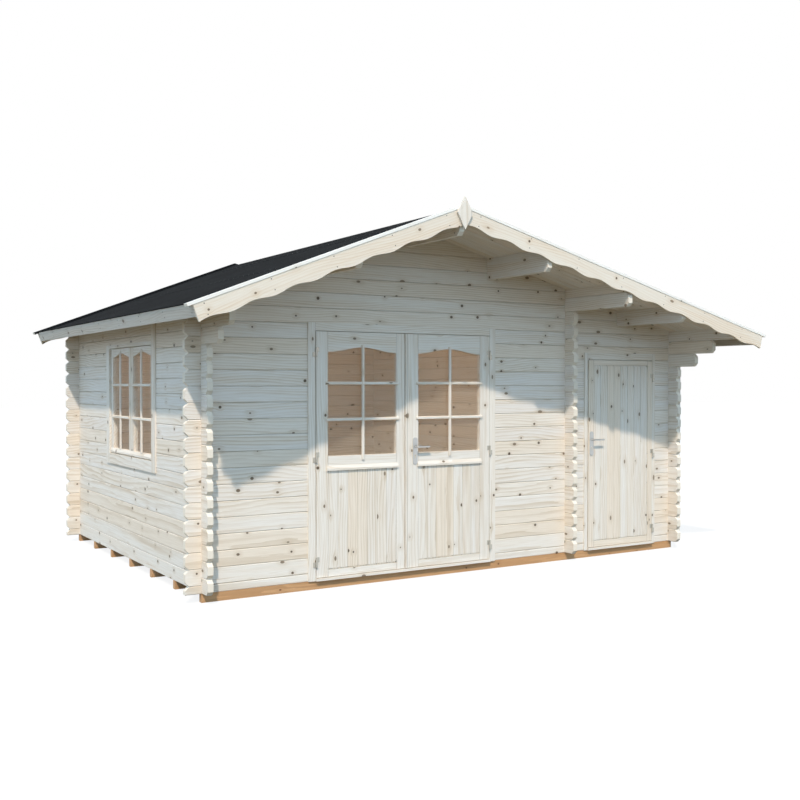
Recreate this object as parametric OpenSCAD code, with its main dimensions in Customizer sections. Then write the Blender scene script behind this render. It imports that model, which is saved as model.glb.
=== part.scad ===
// Log cabin with a main room and a side store under one uneven gable roof.
// The front faces -Y and the left wall, with the window, faces -X.
// The origin is on the ground, under the middle of the wall rectangle.

/* [Logs] */
// Height of one log course
log_h = 120; // [105:1:135]
// Thickness of the wall logs
log_t = 44; // [38:1:52]
// How far log ends stand out past the wall that they cross
log_end = 122; // [90:1:124]
// Chamfer above and below each log end
end_chamfer = 30; // [15:1:38]
// Chamfer along the long edges of a log, which makes the groove between courses
edge_chamfer = 5; // [2:0.5:9]
// Open joint between two courses
course_gap = 0.4; // [0.2:0.1:0.8]
// Clearance in the corner notches
notch_gap = 0.3; // [0.2:0.1:0.8]

/* [Plan] */
// Clear width of the main room
main_room_w = 3380; // [3000:10:4000]
// Clear width of the store
store_w = 1260; // [1180:10:1500]
// Clear depth of both rooms
room_d = 3360; // [2900:10:4200]
// Whole courses of the left wall under its sloped top log
left_courses = 17; // [17:1:19]

/* [Ground frame] */
// Height of the bearers
bearer_h = 66; // [45:1:100]
// Width of a bearer
bearer_w = 45; // [45:1:80]
// Number of bearers
bearer_count = 7; // [5:2:9]
// Thickness of the floor boards
floor_t = 19; // [15:1:24]
// Gap between the floor and the walls
floor_gap = 5; // [2:1:12]

/* [Roof] */
// Pitch of the left slope in degrees
left_pitch = 21; // [19:0.1:23]
// Height of the left wall's sloped top log at its outer face
left_top_log = 93; // [60:1:100]
// Pitch of the right slope in degrees
right_pitch = 14.6; // [13:0.1:16]
// Roof boards past the left wall
left_eave = 334; // [250:1:450]
// Roof boards past the right wall
right_eave = 275; // [250:1:450]
// Roof boards past the front wall
front_overhang = 800; // [700:5:900]
// Roof boards past the back wall
back_overhang = 125; // [125:5:300]
// Thickness of the roof boards
deck_t = 19; // [15:1:28]
// Thickness of the roofing felt
felt_t = 4; // [2:1:8]
// Height of the ridge purlin and of the purlin beside it
purlin_h = 172; // [140:1:190]
// Height of the two purlins near the eaves
eave_purlin_h = 132; // [110:1:150]
// How far the purlins stop short of the bargeboards
purlin_back = 6; // [2:1:40]
// Step between the corbelled logs under the front overhang
corbel_step = 208; // [150:1:230]

/* [Roof edge boards] */
// Thickness of the bargeboards, fascias and finial
board_t = 18; // [15:1:25]
// Mean depth of a bargeboard
barge_h = 116; // [100:1:140]
// Height of the waves on its lower edge, to each side of the mean
wave_h = 10; // [5:1:14]
// Length of one wave
wave_l = 323; // [250:1:400]
// Width of the cover strip on a bargeboard
strip_w = 56; // [45:1:80]
// Thickness of the cover strip
strip_t = 20; // [12:1:28]
// How far the cover strip stands out in front of the bargeboard
strip_out = 4; // [2:1:10]
// How far the cover strip runs past the bargeboard's lower end
strip_tail = 38; // [10:1:60]
// Height of an eave fascia, square to the slope
fascia_h = 94; // [80:1:130]
// How far a fascia stands above the felt's edge
fascia_up = 12; // [4:1:20]
// Length of the front one of the two boards in a fascia
fascia_front_l = 2249; // [1800:1:2600]
// Gap between those two boards
fascia_joint = 2; // [0.5:0.5:4]
// Width of the diamond finial
finial_w = 135; // [100:1:160]
// Height of the diamond finial
finial_h = 247; // [200:1:280]
// How far the finial stands above the cover strips
finial_up = 58; // [40:1:80]

/* [Frames] */
// How far a casing stands proud of the logs
casing_t = 12; // [8:1:20]
// How far a casing laps over the logs at its sides
casing_lap = 20; // [10:1:24]
// How far a head casing laps over the log above
head_lap = 8; // [4:1:16]
// Height of the head casings of the doors
head_casing = 62; // [50:1:80]
// Width of the stop that a leaf or casement shuts against
stop_w = 14; // [10:1:18]
// Thickness of a threshold
threshold_t = 20; // [15:1:30]
// How far a threshold stands out past the logs
threshold_out = 30; // [20:1:45]

/* [Double door] */
// Width over the casings of the double door
double_w = 1782; // [1700:2:1860]
// Middle of the double door to the right of the ridge
double_offset = 12; // [-100:1:100]
// Whole front courses beside the double door
double_courses = 16; // [16:1:17]
// Casing width of the double door
double_casing = 62; // [50:1:80]
// Width of the door stiles beside the glass
stile_w = 105; // [95:1:125]
// Bottom of the glass over the ground
glass_z = 1024; // [980:1:1100]
// Height of the glass at its sides
glass_h = 806; // [700:1:820]
// Rise of the curved glass top
glass_rise = 40; // [20:1:50]
// Top of the boarded lower panel over the ground
panel_z = 912; // [850:1:930]
// Width of the meeting strip
meeting_w = 42; // [35:1:50]
// How far the meeting strip stands proud
meeting_t = 8; // [5:1:12]

/* [Store door] */
// Width over the casings of the store door
single_w = 886; // [820:2:920]
// Casing width of the store door
single_casing = 36; // [32:1:50]
// From the partition to the outer edge of the casing
single_from_partition = 182; // [150:1:210]
// Height over the casing of the store door, from the bearers
single_h = 1800; // [1760:1:1820]
// Width of the stiles beside the boarded panel
single_stile = 62; // [58:1:90]
// Height of the top rail over the boarded panel
single_top_rail = 44; // [40:1:90]

/* [Leaves] */
// Thickness of a door leaf
leaf_t = 40; // [36:1:46]
// How far a leaf stands proud of its casing
leaf_proud = 4; // [2:1:8]
// Running gap above, below and beside a leaf, and behind it
leaf_gap = 5; // [5:1:8]
// Running gap at the edge of a leaf that swings out
free_gap = 7; // [7:1:10]
// Height of the bottom rails
bottom_rail = 52; // [45:1:110]
// Thickness of the boarded panels
panel_t = 18; // [16:1:24]
// How far a panel lies behind the face of its leaf
panel_back = 3; // [2:1:10]
// Width of the boards in a panel
panel_board_w = 86; // [60:1:120]
// Depth of the V joints between those boards
panel_v = 3; // [1:0.5:4]
// Height of the open groove between a panel and its rail
panel_groove = 11; // [4:1:16]
// Depth of that groove in the panel
panel_groove_d = 10; // [4:1:12]
// Thickness of the glass
glass_t = 4; // [3:1:6]

/* [Glazing bars and drip mouldings] */
// Width of a glazing bar
bar_w = 26; // [18:1:32]
// How far the glazing bars stand out
bar_t = 12; // [6:1:14]
// Slope on each side of a glazing bar
bar_slope = 5; // [2:1:8]
// How far a glazing bar laps over the frame round its glass
bar_lap = 20; // [10:1:28]
// How far an upright bar of a door runs below its glass
bar_foot = 36; // [12:1:44]
// Rows of panes between the glazing bars
bar_rows = 3; // [2:1:4]
// Height of a drip moulding
drip_h = 40; // [30:1:42]
// Height of a drip moulding's nose
drip_nose = 16; // [8:1:24]
// How far a drip moulding stands out
drip_out = 12; // [8:1:18]
// How far a door's drip moulding runs past the panel below it
drip_lap = 14; // [0:1:25]

/* [Door fittings] */
// Radius of a hinge barrel
barrel_r = 7; // [6:0.5:8]
// Length of each half of a hinge barrel
barrel_l = 38; // [30:1:50]
// Radius of a hinge pin
pin_r = 4; // [3:0.5:5]
// Thickness of a hinge plate
hinge_plate_t = 3; // [2:0.5:4]
// Width of a hinge plate
hinge_plate_w = 26; // [20:1:30]
// Height of the lowest hinge over the leaf's bottom
hinge_low = 120; // [90:1:200]
// Distance of the top hinge below the leaf's top
hinge_high = 160; // [110:1:220]
// Width of a handle plate
plate_w = 42; // [36:1:46]
// Height of a handle plate
plate_h = 220; // [180:1:250]
// Thickness of a handle plate
plate_t = 6; // [4:1:10]
// Height of the lever's axis over the ground
lever_z = 1073; // [1000:1:1120]
// How far the lever's axis lies above the middle of its plate
lever_up = 34; // [0:1:50]
// Length of a lever
lever_l = 118; // [100:1:130]
// Radius of a lever
lever_r = 8; // [6:0.5:10]
// Distance of a lever from the face of its leaf
lever_out = 46; // [40:1:60]
// Radius of the spindle between two levers
spindle_r = 4; // [3:0.5:5]
// From the meeting strip to the lever's axis
lever_from_strip = 52; // [40:1:60]
// From the edge of the store leaf to the lever's axis
lever_from_edge = 35; // [32:1:50]

/* [Window] */
// Width over the window's casings
window_w = 1384; // [1200:2:1600]
// Height over the window's casings
window_h = 1068; // [980:2:1080]
// Bottom of the window's casings over the ground
window_z = 863; // [830:1:900]
// Middle of the window from the front wall's outer face
window_y = 1694; // [1500:1:1900]
// Width of the side casings, and of the batten above the front one
window_casing = 92; // [60:1:110]
// Height of the head casing
window_head = 30; // [28:1:60]
// Height of the bottom casing
window_apron = 92; // [70:1:110]
// Width of a casement's stiles
sash_w = 60; // [45:1:75]
// Height of a casement's bottom rail
sash_foot = 46; // [44:1:70]
// Height of a casement's top rail over the middle of its glass
sash_head = 42; // [35:1:70]
// Thickness of a casement
sash_t = 36; // [30:1:38]
// Gap round the casements
sash_gap = 4; // [2:1:8]
// Rise of the curved top of the casement glass
sash_rise = 36; // [20:1:45]

/* [Hidden] */

// Points in each wave of a bargeboard, and on each curved glass top
wave_steps = 10;
arch_steps = 14;
// Hairline joint between pieces that are fitted to each other
seam = 0.3;
// Reach of cutting solids past what they cut
over = 5;
// Running clearance round a hinge pin and of a spindle in its plates
pin_gap = 0.08;
// Clearance of a spindle in the wood of a leaf
bore_gap = 1;
// Least height of a sloped top log
least_top_log = 40;

// Wall faces in plan
cabin_w = main_room_w + store_w + 3 * log_t;
cabin_d = room_d + 2 * log_t;
left_x = -cabin_w / 2;
right_x = cabin_w / 2 - log_t;
partition_x = left_x + log_t + main_room_w;
front_y = -cabin_d / 2;
back_y = cabin_d / 2 - log_t;

// Underside of the roof boards, which meet over the middle of the main room
ridge_x = left_x + main_room_w / 2 + log_t;
ridge_z = bearer_h + left_courses * log_h + left_top_log + (ridge_x - left_x) * tan(left_pitch);
function deck_z(x) = x < ridge_x
    ? ridge_z - (ridge_x - x) * tan(left_pitch)
    : ridge_z - (x - ridge_x) * tan(right_pitch);
eave_left_x = left_x - left_eave;
eave_right_x = -left_x + right_eave;
deck_front_y = front_y - front_overhang;
deck_back_y = -front_y + back_overhang;
purlin_front_y = deck_front_y + purlin_back;
purlin_end_y = deck_back_y - purlin_back;

// Side walls start with a whole log, front and back walls with a half log
function side_z(k) = bearer_h + (k - 1) * log_h;
function cross_z(k) = k == 0 ? bearer_h : bearer_h + (k - 0.5) * log_h;
function cross_h(k) = k == 0 ? log_h / 2 : log_h;
function whole_courses(z) = floor((z - bearer_h - least_top_log) / log_h);
function last_crossing(z) = floor((z - bearer_h) / log_h - 0.25);
function course_at(z) = floor((z - bearer_h) / log_h + 0.5);
notch_depth = log_h / 4;
right_courses = whole_courses(deck_z(-left_x));
partition_courses = whole_courses(deck_z(partition_x + log_t));
left_last = last_crossing(deck_z(left_x));
partition_last = last_crossing(deck_z(partition_x + log_t));
right_last = last_crossing(deck_z(-left_x));
gable_last = course_at(ridge_z - over);

// Purlins stand midway between the ridge and the walls that carry the roof
left_purlin_x = (left_x + ridge_x) / 2;
right_purlin_x = (ridge_x + partition_x) / 2;
store_purlin_x = (partition_x + right_x) / 2;

// Double door
double_x = ridge_x - double_w / 2 + double_offset;
double_head = cross_z(double_courses + 1) + head_lap;
double_clear_x = double_x + double_casing;
double_clear_w = double_w - 2 * double_casing;
meeting_x = double_x + double_w / 2 - meeting_w / 2;

// Store door
single_x = partition_x + log_t + single_from_partition;
single_head = bearer_h + single_h;
single_clear_x = single_x + single_casing;
single_clear_w = single_w - 2 * single_casing;
single_first_head = course_at(single_head - head_lap);

// Door leaves
leaf_y = front_y - casing_t - leaf_proud;
leaf_z = bearer_h + threshold_t + leaf_gap;
double_leaf_h = double_head - head_casing - leaf_gap - leaf_z;
single_leaf_h = single_head - head_casing - leaf_gap - leaf_z;
left_leaf_x = double_clear_x + leaf_gap;
left_leaf_w = meeting_x - free_gap - left_leaf_x;
right_leaf_x = meeting_x;
right_leaf_w = double_clear_x + double_clear_w - leaf_gap - right_leaf_x;
single_leaf_x = single_clear_x + free_gap;
single_leaf_w = single_clear_w - leaf_gap - free_gap;
store_panel_w = single_leaf_w - 2 * single_stile;
store_panel_h = single_leaf_h - bottom_rail - single_top_rail;
glass_w = double_clear_w / 2 - 2 * stile_w;
glass_y = leaf_y + leaf_t / 2;

// Hinge axes run up the running gaps, in front of the leaves
axis_y = leaf_y - barrel_r - hinge_plate_t / 2;
left_axis_x = double_clear_x + leaf_gap / 2;
right_axis_x = double_clear_x + double_clear_w - leaf_gap / 2;
store_axis_x = single_clear_x + single_clear_w - leaf_gap / 2;
function hinge_heights(leaf_h) = [for (h = [hinge_low, (hinge_low + leaf_h - hinge_high) / 2, leaf_h - hinge_high])
    leaf_z + h];

// Levers
right_lever_x = right_leaf_x + meeting_w + lever_from_strip;
store_lever_x = single_leaf_x + lever_from_edge;

// Window, in the left wall
window_back_y = front_y + window_y + window_w / 2;
window_clear_w = window_w - 2 * window_casing;
window_clear_z = window_z + window_apron;
window_clear_h = window_h - window_apron - window_head;
sash_side = (window_clear_w - 3 * sash_gap) / 2;
sash_z = window_clear_z + sash_gap;
sash_h = window_clear_h - 2 * sash_gap;
sash_y = log_t - sash_t - seam;
light_w = sash_side - 2 * sash_w;
light_z = sash_z + sash_foot;
light_h = sash_h - sash_foot - sash_head - sash_rise;

pine = "#E4DCCB";
pine_shade = "#D8CFBC";
felt_colour = "#2E3338";
bearer_colour = "#C08A58";
steel = "#B9BDC0";
glass_colour = "#B7A795";

// One log along +X with V edges; ends says which ends stand out past a crossing,
// crossings lists where other walls pass and notches says which edges are notched for them
module log_bar(length, height, ends, crossings, notches, low_chamfer = end_chamfer) {
    h = height - course_gap;
    c = edge_chamfer;
    e = end_chamfer;
    start = ends[0] ? [[e, h], [0, h - e], [0, low_chamfer], [low_chamfer, 0]] : [[0, h], [0, 0]];
    stop = ends[1]
        ? [[length - low_chamfer, 0], [length, low_chamfer], [length, h - e], [length - e, h]]
        : [[length, 0], [length, h]];
    difference() {
        intersection() {
            rotate([90, 0, 90]) linear_extrude(length)
                polygon([[c, 0], [log_t - c, 0], [log_t, c], [log_t, h - c],
                    [log_t - c, h], [c, h], [0, h - c], [0, c]]);
            translate([0, log_t + over, 0]) rotate([90, 0, 0]) linear_extrude(log_t + 2 * over)
                polygon(concat(start, stop));
        }
        for (x = crossings, low = [0, 1])
            if (notches[low])
                translate([x - notch_gap, -over, low == 0 ? -over : h - notch_depth])
                    cube([log_t + 2 * notch_gap, log_t + 2 * over, notch_depth + over]);
    }
}

// A side wall's log from y0 to y1
module side_log(x, y0, y1, z, height, notches) {
    translate([x + log_t, y0, z]) rotate([0, 0, 90])
        log_bar(y1 - y0, height, [true, true], [front_y - y0, back_y - y0], notches);
}

// Everything below the underside of the roof boards
module under_roof() {
    translate([0, deck_back_y + over, 0]) rotate([90, 0, 0])
        linear_extrude(deck_back_y - deck_front_y + 2 * over)
            polygon([[eave_left_x, 0], [eave_right_x, 0], [eave_right_x, deck_z(eave_right_x) - seam],
                [ridge_x, ridge_z - seam], [eave_left_x, deck_z(eave_left_x) - seam]]);
}

// A side wall: whole courses, longer ones under the front overhang, and a sloped top log
module side_wall(x, courses, reaches) {
    for (k = [1 : courses]) {
        reach = k > courses - len(reaches) ? reaches[k - 1 - courses + len(reaches)] : log_end;
        side_log(x, front_y - reach, -front_y + log_end, side_z(k), log_h, [true, true]);
    }
    intersection() {
        side_log(x, purlin_front_y, purlin_end_y, side_z(courses + 1), 2 * log_h, [true, false]);
        under_roof();
    }
}

// A log of the front or back wall; from and to limit it beside an opening
module cross_log(y, k, from = left_x - log_end, to = log_end - left_x) {
    past_left = k <= left_last && from < left_x;
    past_right = k <= right_last && to > -left_x;
    x0 = past_left ? from : max(from, left_x + log_t + seam);
    inner = k > partition_last ? partition_x - seam : right_x - seam;
    x1 = past_right ? to : min(to, inner);
    sloped = cross_z(k + 1) > min(deck_z(x0), deck_z(x1)) - over;
    walls = [for (x = [left_x, partition_x, right_x]) if (x > x0 && x < x1) x - x0];
    low_chamfer = k > 0 ? end_chamfer : 0;
    module bar() {
        translate([x0, y, cross_z(k)])
            log_bar(x1 - x0, cross_h(k), [past_left, past_right], walls, [k > 0, true], low_chamfer);
    }
    if (sloped) intersection() { bar(); under_roof(); }
    else bar();
}

// A purlin's bar before its top is cut to the roof slope, grown by a clearance
module purlin_bar(x, height, grow = 0) {
    z = min(deck_z(x - log_t / 2), deck_z(x + log_t / 2)) - height - grow;
    length = purlin_end_y - purlin_front_y;
    translate([x - log_t / 2 - grow, purlin_front_y, z]) rotate([90, 0, 90]) linear_extrude(log_t + 2 * grow)
        polygon([[end_chamfer, 0], [length - end_chamfer, 0], [length, end_chamfer],
            [length, 2 * height], [0, 2 * height], [0, end_chamfer]]);
}

module all_purlin_bars(grow) {
    purlin_bar(ridge_x, purlin_h, grow);
    purlin_bar(right_purlin_x, purlin_h, grow);
    purlin_bar(left_purlin_x, eave_purlin_h, grow);
    purlin_bar(store_purlin_x, eave_purlin_h, grow);
}

// Gable logs, cut to the slopes and round the purlins
module gable(y) {
    for (k = [double_courses + 1 : gable_last])
        difference() {
            cross_log(y, k);
            all_purlin_bars(seam);
        }
}

// A door's opening through the logs of the front wall
module door_opening(x, width, head) {
    translate([x + casing_lap, front_y - over, 0])
        cube([width - 2 * casing_lap, log_t + 2 * over, head - head_lap]);
}

// The window's opening through the logs of the left wall
module window_opening() {
    translate([left_x - over, window_back_y - window_w + casing_lap, window_z + casing_lap])
        cube([log_t + 2 * over, window_w - 2 * casing_lap, window_h - 2 * casing_lap]);
}

module bearers() {
    step = (cabin_d - bearer_w) / (bearer_count - 1);
    color(bearer_colour)
        for (i = [0 : bearer_count - 1])
            translate([left_x, front_y + i * step, 0]) cube([cabin_w, bearer_w, bearer_h]);
}

module floor_slab(x, width) {
    color(pine_shade)
        translate([x + floor_gap, front_y + log_t + floor_gap, bearer_h])
            cube([width - 2 * floor_gap, room_d - 2 * floor_gap, floor_t]);
}

module main_floor() { floor_slab(left_x + log_t, main_room_w); }

module store_floor() { floor_slab(partition_x + log_t, store_w); }

module left_wall() {
    color(pine) difference() {
        side_wall(left_x, left_courses, [log_end + corbel_step, log_end + 2 * corbel_step]);
        window_opening();
    }
}

module right_wall() {
    color(pine) side_wall(right_x, right_courses, [log_end + corbel_step, log_end + 2 * corbel_step]);
}

module partition_wall() {
    color(pine) side_wall(partition_x, partition_courses, [front_overhang - purlin_back]);
}

module back_wall() {
    color(pine) for (k = [0 : double_courses]) cross_log(back_y, k);
}

module back_gable() { color(pine) gable(back_y); }

module front_wall_left() {
    color(pine) for (k = [0 : double_courses]) cross_log(front_y, k, to = double_x + casing_lap);
}

module front_wall_middle() {
    color(pine) for (k = [0 : single_first_head - 1])
        cross_log(front_y, k, double_x + double_w - casing_lap, single_x + casing_lap);
}

module front_wall_right() {
    color(pine) for (k = [0 : single_first_head - 1])
        cross_log(front_y, k, from = single_x + single_w - casing_lap);
}

module front_wall_head() {
    color(pine) difference() {
        for (k = [single_first_head : double_courses])
            cross_log(front_y, k, from = double_x + double_w - casing_lap);
        door_opening(single_x, single_w, single_head);
    }
}

module front_gable() { color(pine) gable(front_y); }

module ridge_purlin() {
    color(pine) intersection() {
        purlin_bar(ridge_x, purlin_h);
        under_roof();
    }
}

module side_purlins() {
    color(pine) intersection() {
        union() {
            purlin_bar(right_purlin_x, purlin_h);
            purlin_bar(left_purlin_x, eave_purlin_h);
            purlin_bar(store_purlin_x, eave_purlin_h);
        }
        under_roof();
    }
}

// A place on a slope: u down the slope from the ridge, t square to it from the underside of the boards
function on_slope(side, pitch, u, t) = [
    ridge_x + side * (u * cos(pitch) + t * sin(pitch)),
    ridge_z - u * sin(pitch) + t * cos(pitch)];
function slope_length(x, pitch) = abs(x - ridge_x) / cos(pitch);

// A section across a slope, drawn out from y by l
module along_slope(side, y, l, corners) {
    translate([side * seam / 2, y + l, 0]) rotate([90, 0, 0]) linear_extrude(l) polygon(corners);
}

// A layer on a slope between two heights square to it, plumb at the ridge and square where it ends
module slope_layer(side, pitch, reach, low, high, y, l) {
    along_slope(side, y, l, [
        on_slope(side, pitch, -low * tan(pitch), low), on_slope(side, pitch, reach, low),
        on_slope(side, pitch, reach, high), on_slope(side, pitch, -high * tan(pitch), high)]);
}

module roof_layer(x, pitch, low, high) {
    side = x < ridge_x ? -1 : 1;
    slope_layer(side, pitch, slope_length(x, pitch), low, high, deck_front_y, deck_back_y - deck_front_y);
}

module left_roof_boards() { color(pine_shade) roof_layer(eave_left_x, left_pitch, 0, deck_t); }

module right_roof_boards() { color(pine_shade) roof_layer(eave_right_x, right_pitch, 0, deck_t); }

module left_felt() { color(felt_colour) roof_layer(eave_left_x, left_pitch, deck_t, deck_t + felt_t); }

module right_felt() { color(felt_colour) roof_layer(eave_right_x, right_pitch, deck_t, deck_t + felt_t); }

// Two butted eave boards square to the slope, on the ends of the roof boards, notched under the strips
module fascia(x, pitch) {
    side = x < ridge_x ? -1 : 1;
    inner = slope_length(x, pitch) + seam;
    outer = inner + board_t;
    high = deck_t + felt_t + fascia_up;
    low = high - fascia_h;
    difference() {
        along_slope(side, deck_front_y, deck_back_y - deck_front_y, [
            on_slope(side, pitch, inner, low), on_slope(side, pitch, outer, low),
            on_slope(side, pitch, outer, high), on_slope(side, pitch, inner, high)]);
        translate([x - fascia_h, deck_front_y + fascia_front_l, deck_z(x) - fascia_h])
            cube([2 * fascia_h, fascia_joint, 2 * fascia_h]);
        cover_strip(x, pitch, strip_front_y, seam);
        cover_strip(x, pitch, strip_back_y, seam);
    }
}

module left_fascia() { color(pine) fascia(eave_left_x, left_pitch); }

module right_fascia() { color(pine) fascia(eave_right_x, right_pitch); }

function wave_depth(s) = barge_h - wave_h * sin(360 * s / wave_l);

// A bargeboard: square at the eave, plumb at the ridge, waves along its lower edge
module bargeboard(x, pitch, y) {
    side = x < ridge_x ? -1 : 1;
    top = deck_t + felt_t;
    reach = slope_length(x, pitch) + board_t;
    peak = wave_depth(reach) - top;
    first = peak * tan(pitch);
    steps = round(reach / wave_l * wave_steps);
    upper = [on_slope(side, pitch, -top * tan(pitch), top), on_slope(side, pitch, reach, top)];
    lower = [for (i = [0 : steps]) let (u = reach - i * (reach - first) / steps)
        on_slope(side, pitch, u, i == steps ? -peak : top - wave_depth(reach - u))];
    along_slope(side, y, board_t, concat(upper, lower));
}

barge_front_y = deck_front_y - seam - board_t;
barge_back_y = deck_back_y + seam;

module front_left_bargeboard() { color(pine) bargeboard(eave_left_x, left_pitch, barge_front_y); }

module front_right_bargeboard() { color(pine) bargeboard(eave_right_x, right_pitch, barge_front_y); }

module back_left_bargeboard() { color(pine) bargeboard(eave_left_x, left_pitch, barge_back_y); }

module back_right_bargeboard() { color(pine) bargeboard(eave_right_x, right_pitch, barge_back_y); }

strip_front_y = barge_front_y - strip_out;
strip_back_y = barge_back_y + board_t + strip_out - strip_w;

// A strip over the top edge of a bargeboard and the edge of the felt, grown by a clearance
module cover_strip(x, pitch, y, grow = 0) {
    side = x < ridge_x ? -1 : 1;
    low = deck_t + felt_t + seam - grow;
    high = low + strip_t + 2 * grow;
    reach = slope_length(x, pitch) + board_t + strip_tail;
    slope_layer(side, pitch, reach, low, high, y - grow, strip_w + 2 * grow);
}

module cover_strips(y) {
    color(pine) {
        cover_strip(eave_left_x, left_pitch, y);
        cover_strip(eave_right_x, right_pitch, y);
    }
}

module front_cover_strips() { cover_strips(strip_front_y); }

module back_cover_strips() { cover_strips(strip_back_y); }

module finial() {
    strip_top = ridge_z + (deck_t + felt_t + strip_t) / cos(left_pitch);
    color(pine) translate([ridge_x, strip_front_y - seam, strip_top + finial_up - finial_h / 2])
        rotate([90, 0, 0]) linear_extrude(board_t)
            polygon([[0, finial_h / 2], [-finial_w / 2, 0], [0, -finial_h / 2], [finial_w / 2, 0]]);
}

// One upright of a frame: casings inside and outside, grooved over the ends of the logs.
// It stands from z0 to z1 at x = 0 to casing, with the logs on its -X side.
module jamb(casing, z0, z1, foot, top_lap, foot_lap) {
    groove = casing_lap + seam;
    difference() {
        translate([0, 0, z0]) linear_extrude(z1 - z0)
            polygon([[0, -casing_t], [casing, -casing_t], [casing, log_t + casing_t], [0, log_t + casing_t],
                [0, log_t + seam], [groove, log_t + seam], [groove, -seam], [0, -seam]]);
        translate([-over, -seam, z1 - top_lap - seam])
            cube([casing + 2 * over, log_t + 2 * seam, top_lap + over]);
        translate([-over, -seam, z0 - over])
            cube([casing + 2 * over, log_t + 2 * seam, foot_lap > 0 ? foot_lap + over + seam : over]);
        translate([-over, log_t, z0 - over])
            cube([casing + 2 * over, casing_t + over, foot + over]);
    }
}

// A crosspiece of a frame, from x = 0 to length, grooved along its top edge over the logs
module head_piece(length, height, lap) {
    groove = height - lap - seam;
    rotate([90, 0, 90]) linear_extrude(length)
        polygon([[-casing_t, 0], [log_t + casing_t, 0], [log_t + casing_t, height], [log_t + seam, height],
            [log_t + seam, groove], [-seam, groove], [-seam, height], [-casing_t, height]]);
}

// A door frame in the front wall: two jambs, head, threshold and stops
module door_frame(x, width, casing, head) {
    clear = width - 2 * casing;
    foot = floor_t + seam;
    threshold_z = bearer_h + threshold_t;
    stop_y = leaf_y - front_y + leaf_t + leaf_gap;
    stop_d = log_t + casing_t - stop_y;
    stop_top = head - head_casing - seam;
    translate([x, front_y, 0]) {
        jamb(casing, bearer_h, head, foot, head_lap, 0);
        translate([width, 0, 0]) mirror([1, 0, 0]) jamb(casing, bearer_h, head, foot, head_lap, 0);
        translate([casing + seam, 0, head - head_casing]) head_piece(clear - 2 * seam, head_casing, head_lap);
        translate([casing + seam, -threshold_out, bearer_h])
            cube([clear - 2 * seam, threshold_out + log_t, threshold_t]);
        for (side = [casing + seam, casing + clear - seam - stop_w])
            translate([side, stop_y, threshold_z + seam])
                cube([stop_w, stop_d, stop_top - threshold_z - seam]);
        translate([casing + stop_w + 2 * seam, stop_y, stop_top - stop_w])
            cube([clear - 2 * stop_w - 4 * seam, stop_d, stop_w]);
    }
}

module double_door_frame() { color(pine) door_frame(double_x, double_w, double_casing, double_head); }

module store_door_frame() { color(pine) door_frame(single_x, single_w, single_casing, single_head); }

// The fixed lower half of a lift-off hinge: plate on the casing, barrel and pin
module hinge_post(x, z, side) {
    plate_d = hinge_plate_t + leaf_proud;
    translate([x, axis_y, z - barrel_l]) {
        cylinder(r = barrel_r, h = barrel_l, $fn = 48);
        cylinder(r = pin_r, h = 2 * barrel_l - 2 * seam - hinge_plate_t, $fn = 48);
    }
    translate([side > 0 ? x : x - hinge_plate_w, front_y - casing_t - seam - plate_d, z - barrel_l])
        cube([hinge_plate_w, plate_d, barrel_l]);
}

// The upper half of a lift-off hinge, on the leaf
module leaf_hinge(x, z, side) {
    difference() {
        union() {
            translate([x, axis_y, z + seam]) cylinder(r = barrel_r, h = barrel_l, $fn = 48);
            translate([side > 0 ? x : x - hinge_plate_w, leaf_y - seam - hinge_plate_t, z + seam])
                cube([hinge_plate_w, hinge_plate_t, barrel_l]);
        }
        translate([x, axis_y, z - over])
            cylinder(r = pin_r + pin_gap, h = barrel_l + over - hinge_plate_t, $fn = 48);
    }
}

module door_hinge_posts() {
    color(steel) {
        for (z = hinge_heights(double_leaf_h)) {
            hinge_post(left_axis_x, z, -1);
            hinge_post(right_axis_x, z, 1);
        }
        for (z = hinge_heights(single_leaf_h)) hinge_post(store_axis_x, z, 1);
    }
}

// Outline of glass with a curved top, from x = 0 to width
function arched(width, side_h, rise) = concat([[0, 0], [width, 0]],
    [for (i = [0 : arch_steps]) let (x = width * (1 - i / arch_steps))
        [x, side_h + rise * (1 - cos(360 * x / width)) / 2]]);

// A leaf's flat frame, standing in the XZ plane with its front at y = 0
module leaf_slab(thickness) {
    translate([0, thickness, 0]) rotate([90, 0, 0]) linear_extrude(thickness) children();
}

// A glazed leaf's frame from x to x plus width: glass above and a boarded panel below, from glass_x
module glazed_frame(x, width, glass_x) {
    translate([x, leaf_y, leaf_z]) leaf_slab(leaf_t) difference() {
        square([width, double_leaf_h]);
        translate([glass_x - x, glass_z - leaf_z]) polygon(arched(glass_w, glass_h, glass_rise));
        translate([glass_x - x, bottom_rail]) square([glass_w, panel_z - leaf_z - bottom_rail]);
    }
}

// A panel of upright boards with V joints, with an open groove above the bottom rail
// and, where asked for, under the rail above
module boarded_panel(x, width, height, groove_above) {
    w = width - 2 * seam;
    h = height - 2 * seam;
    count = round(w / panel_board_w);
    joints = [for (i = [1 : count - 1], p = [[-panel_v, 0], [0, panel_v], [panel_v, 0]])
        [i * w / count + p[0], p[1]]];
    module groove(z) {
        translate([-over, -over, z]) cube([w + 2 * over, panel_groove_d + over, panel_groove + over]);
    }
    color(pine) translate([x + seam, leaf_y + panel_back, leaf_z + bottom_rail + seam]) difference() {
        linear_extrude(h) polygon(concat([[0, panel_t], [0, 0]], joints, [[w, 0], [w, panel_t]]));
        groove(-over);
        if (groove_above) groove(h - panel_groove);
    }
}

module glazed_panel(x) { boarded_panel(x, glass_w, panel_z - leaf_z - bottom_rail, false); }

// A glazing bar with sloped sides, upright on a face at y = 0
module bar(length) {
    half = bar_w / 2;
    linear_extrude(length)
        polygon([[-half, 0], [half, 0], [half - bar_slope, -bar_t], [bar_slope - half, -bar_t]]);
}

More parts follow.
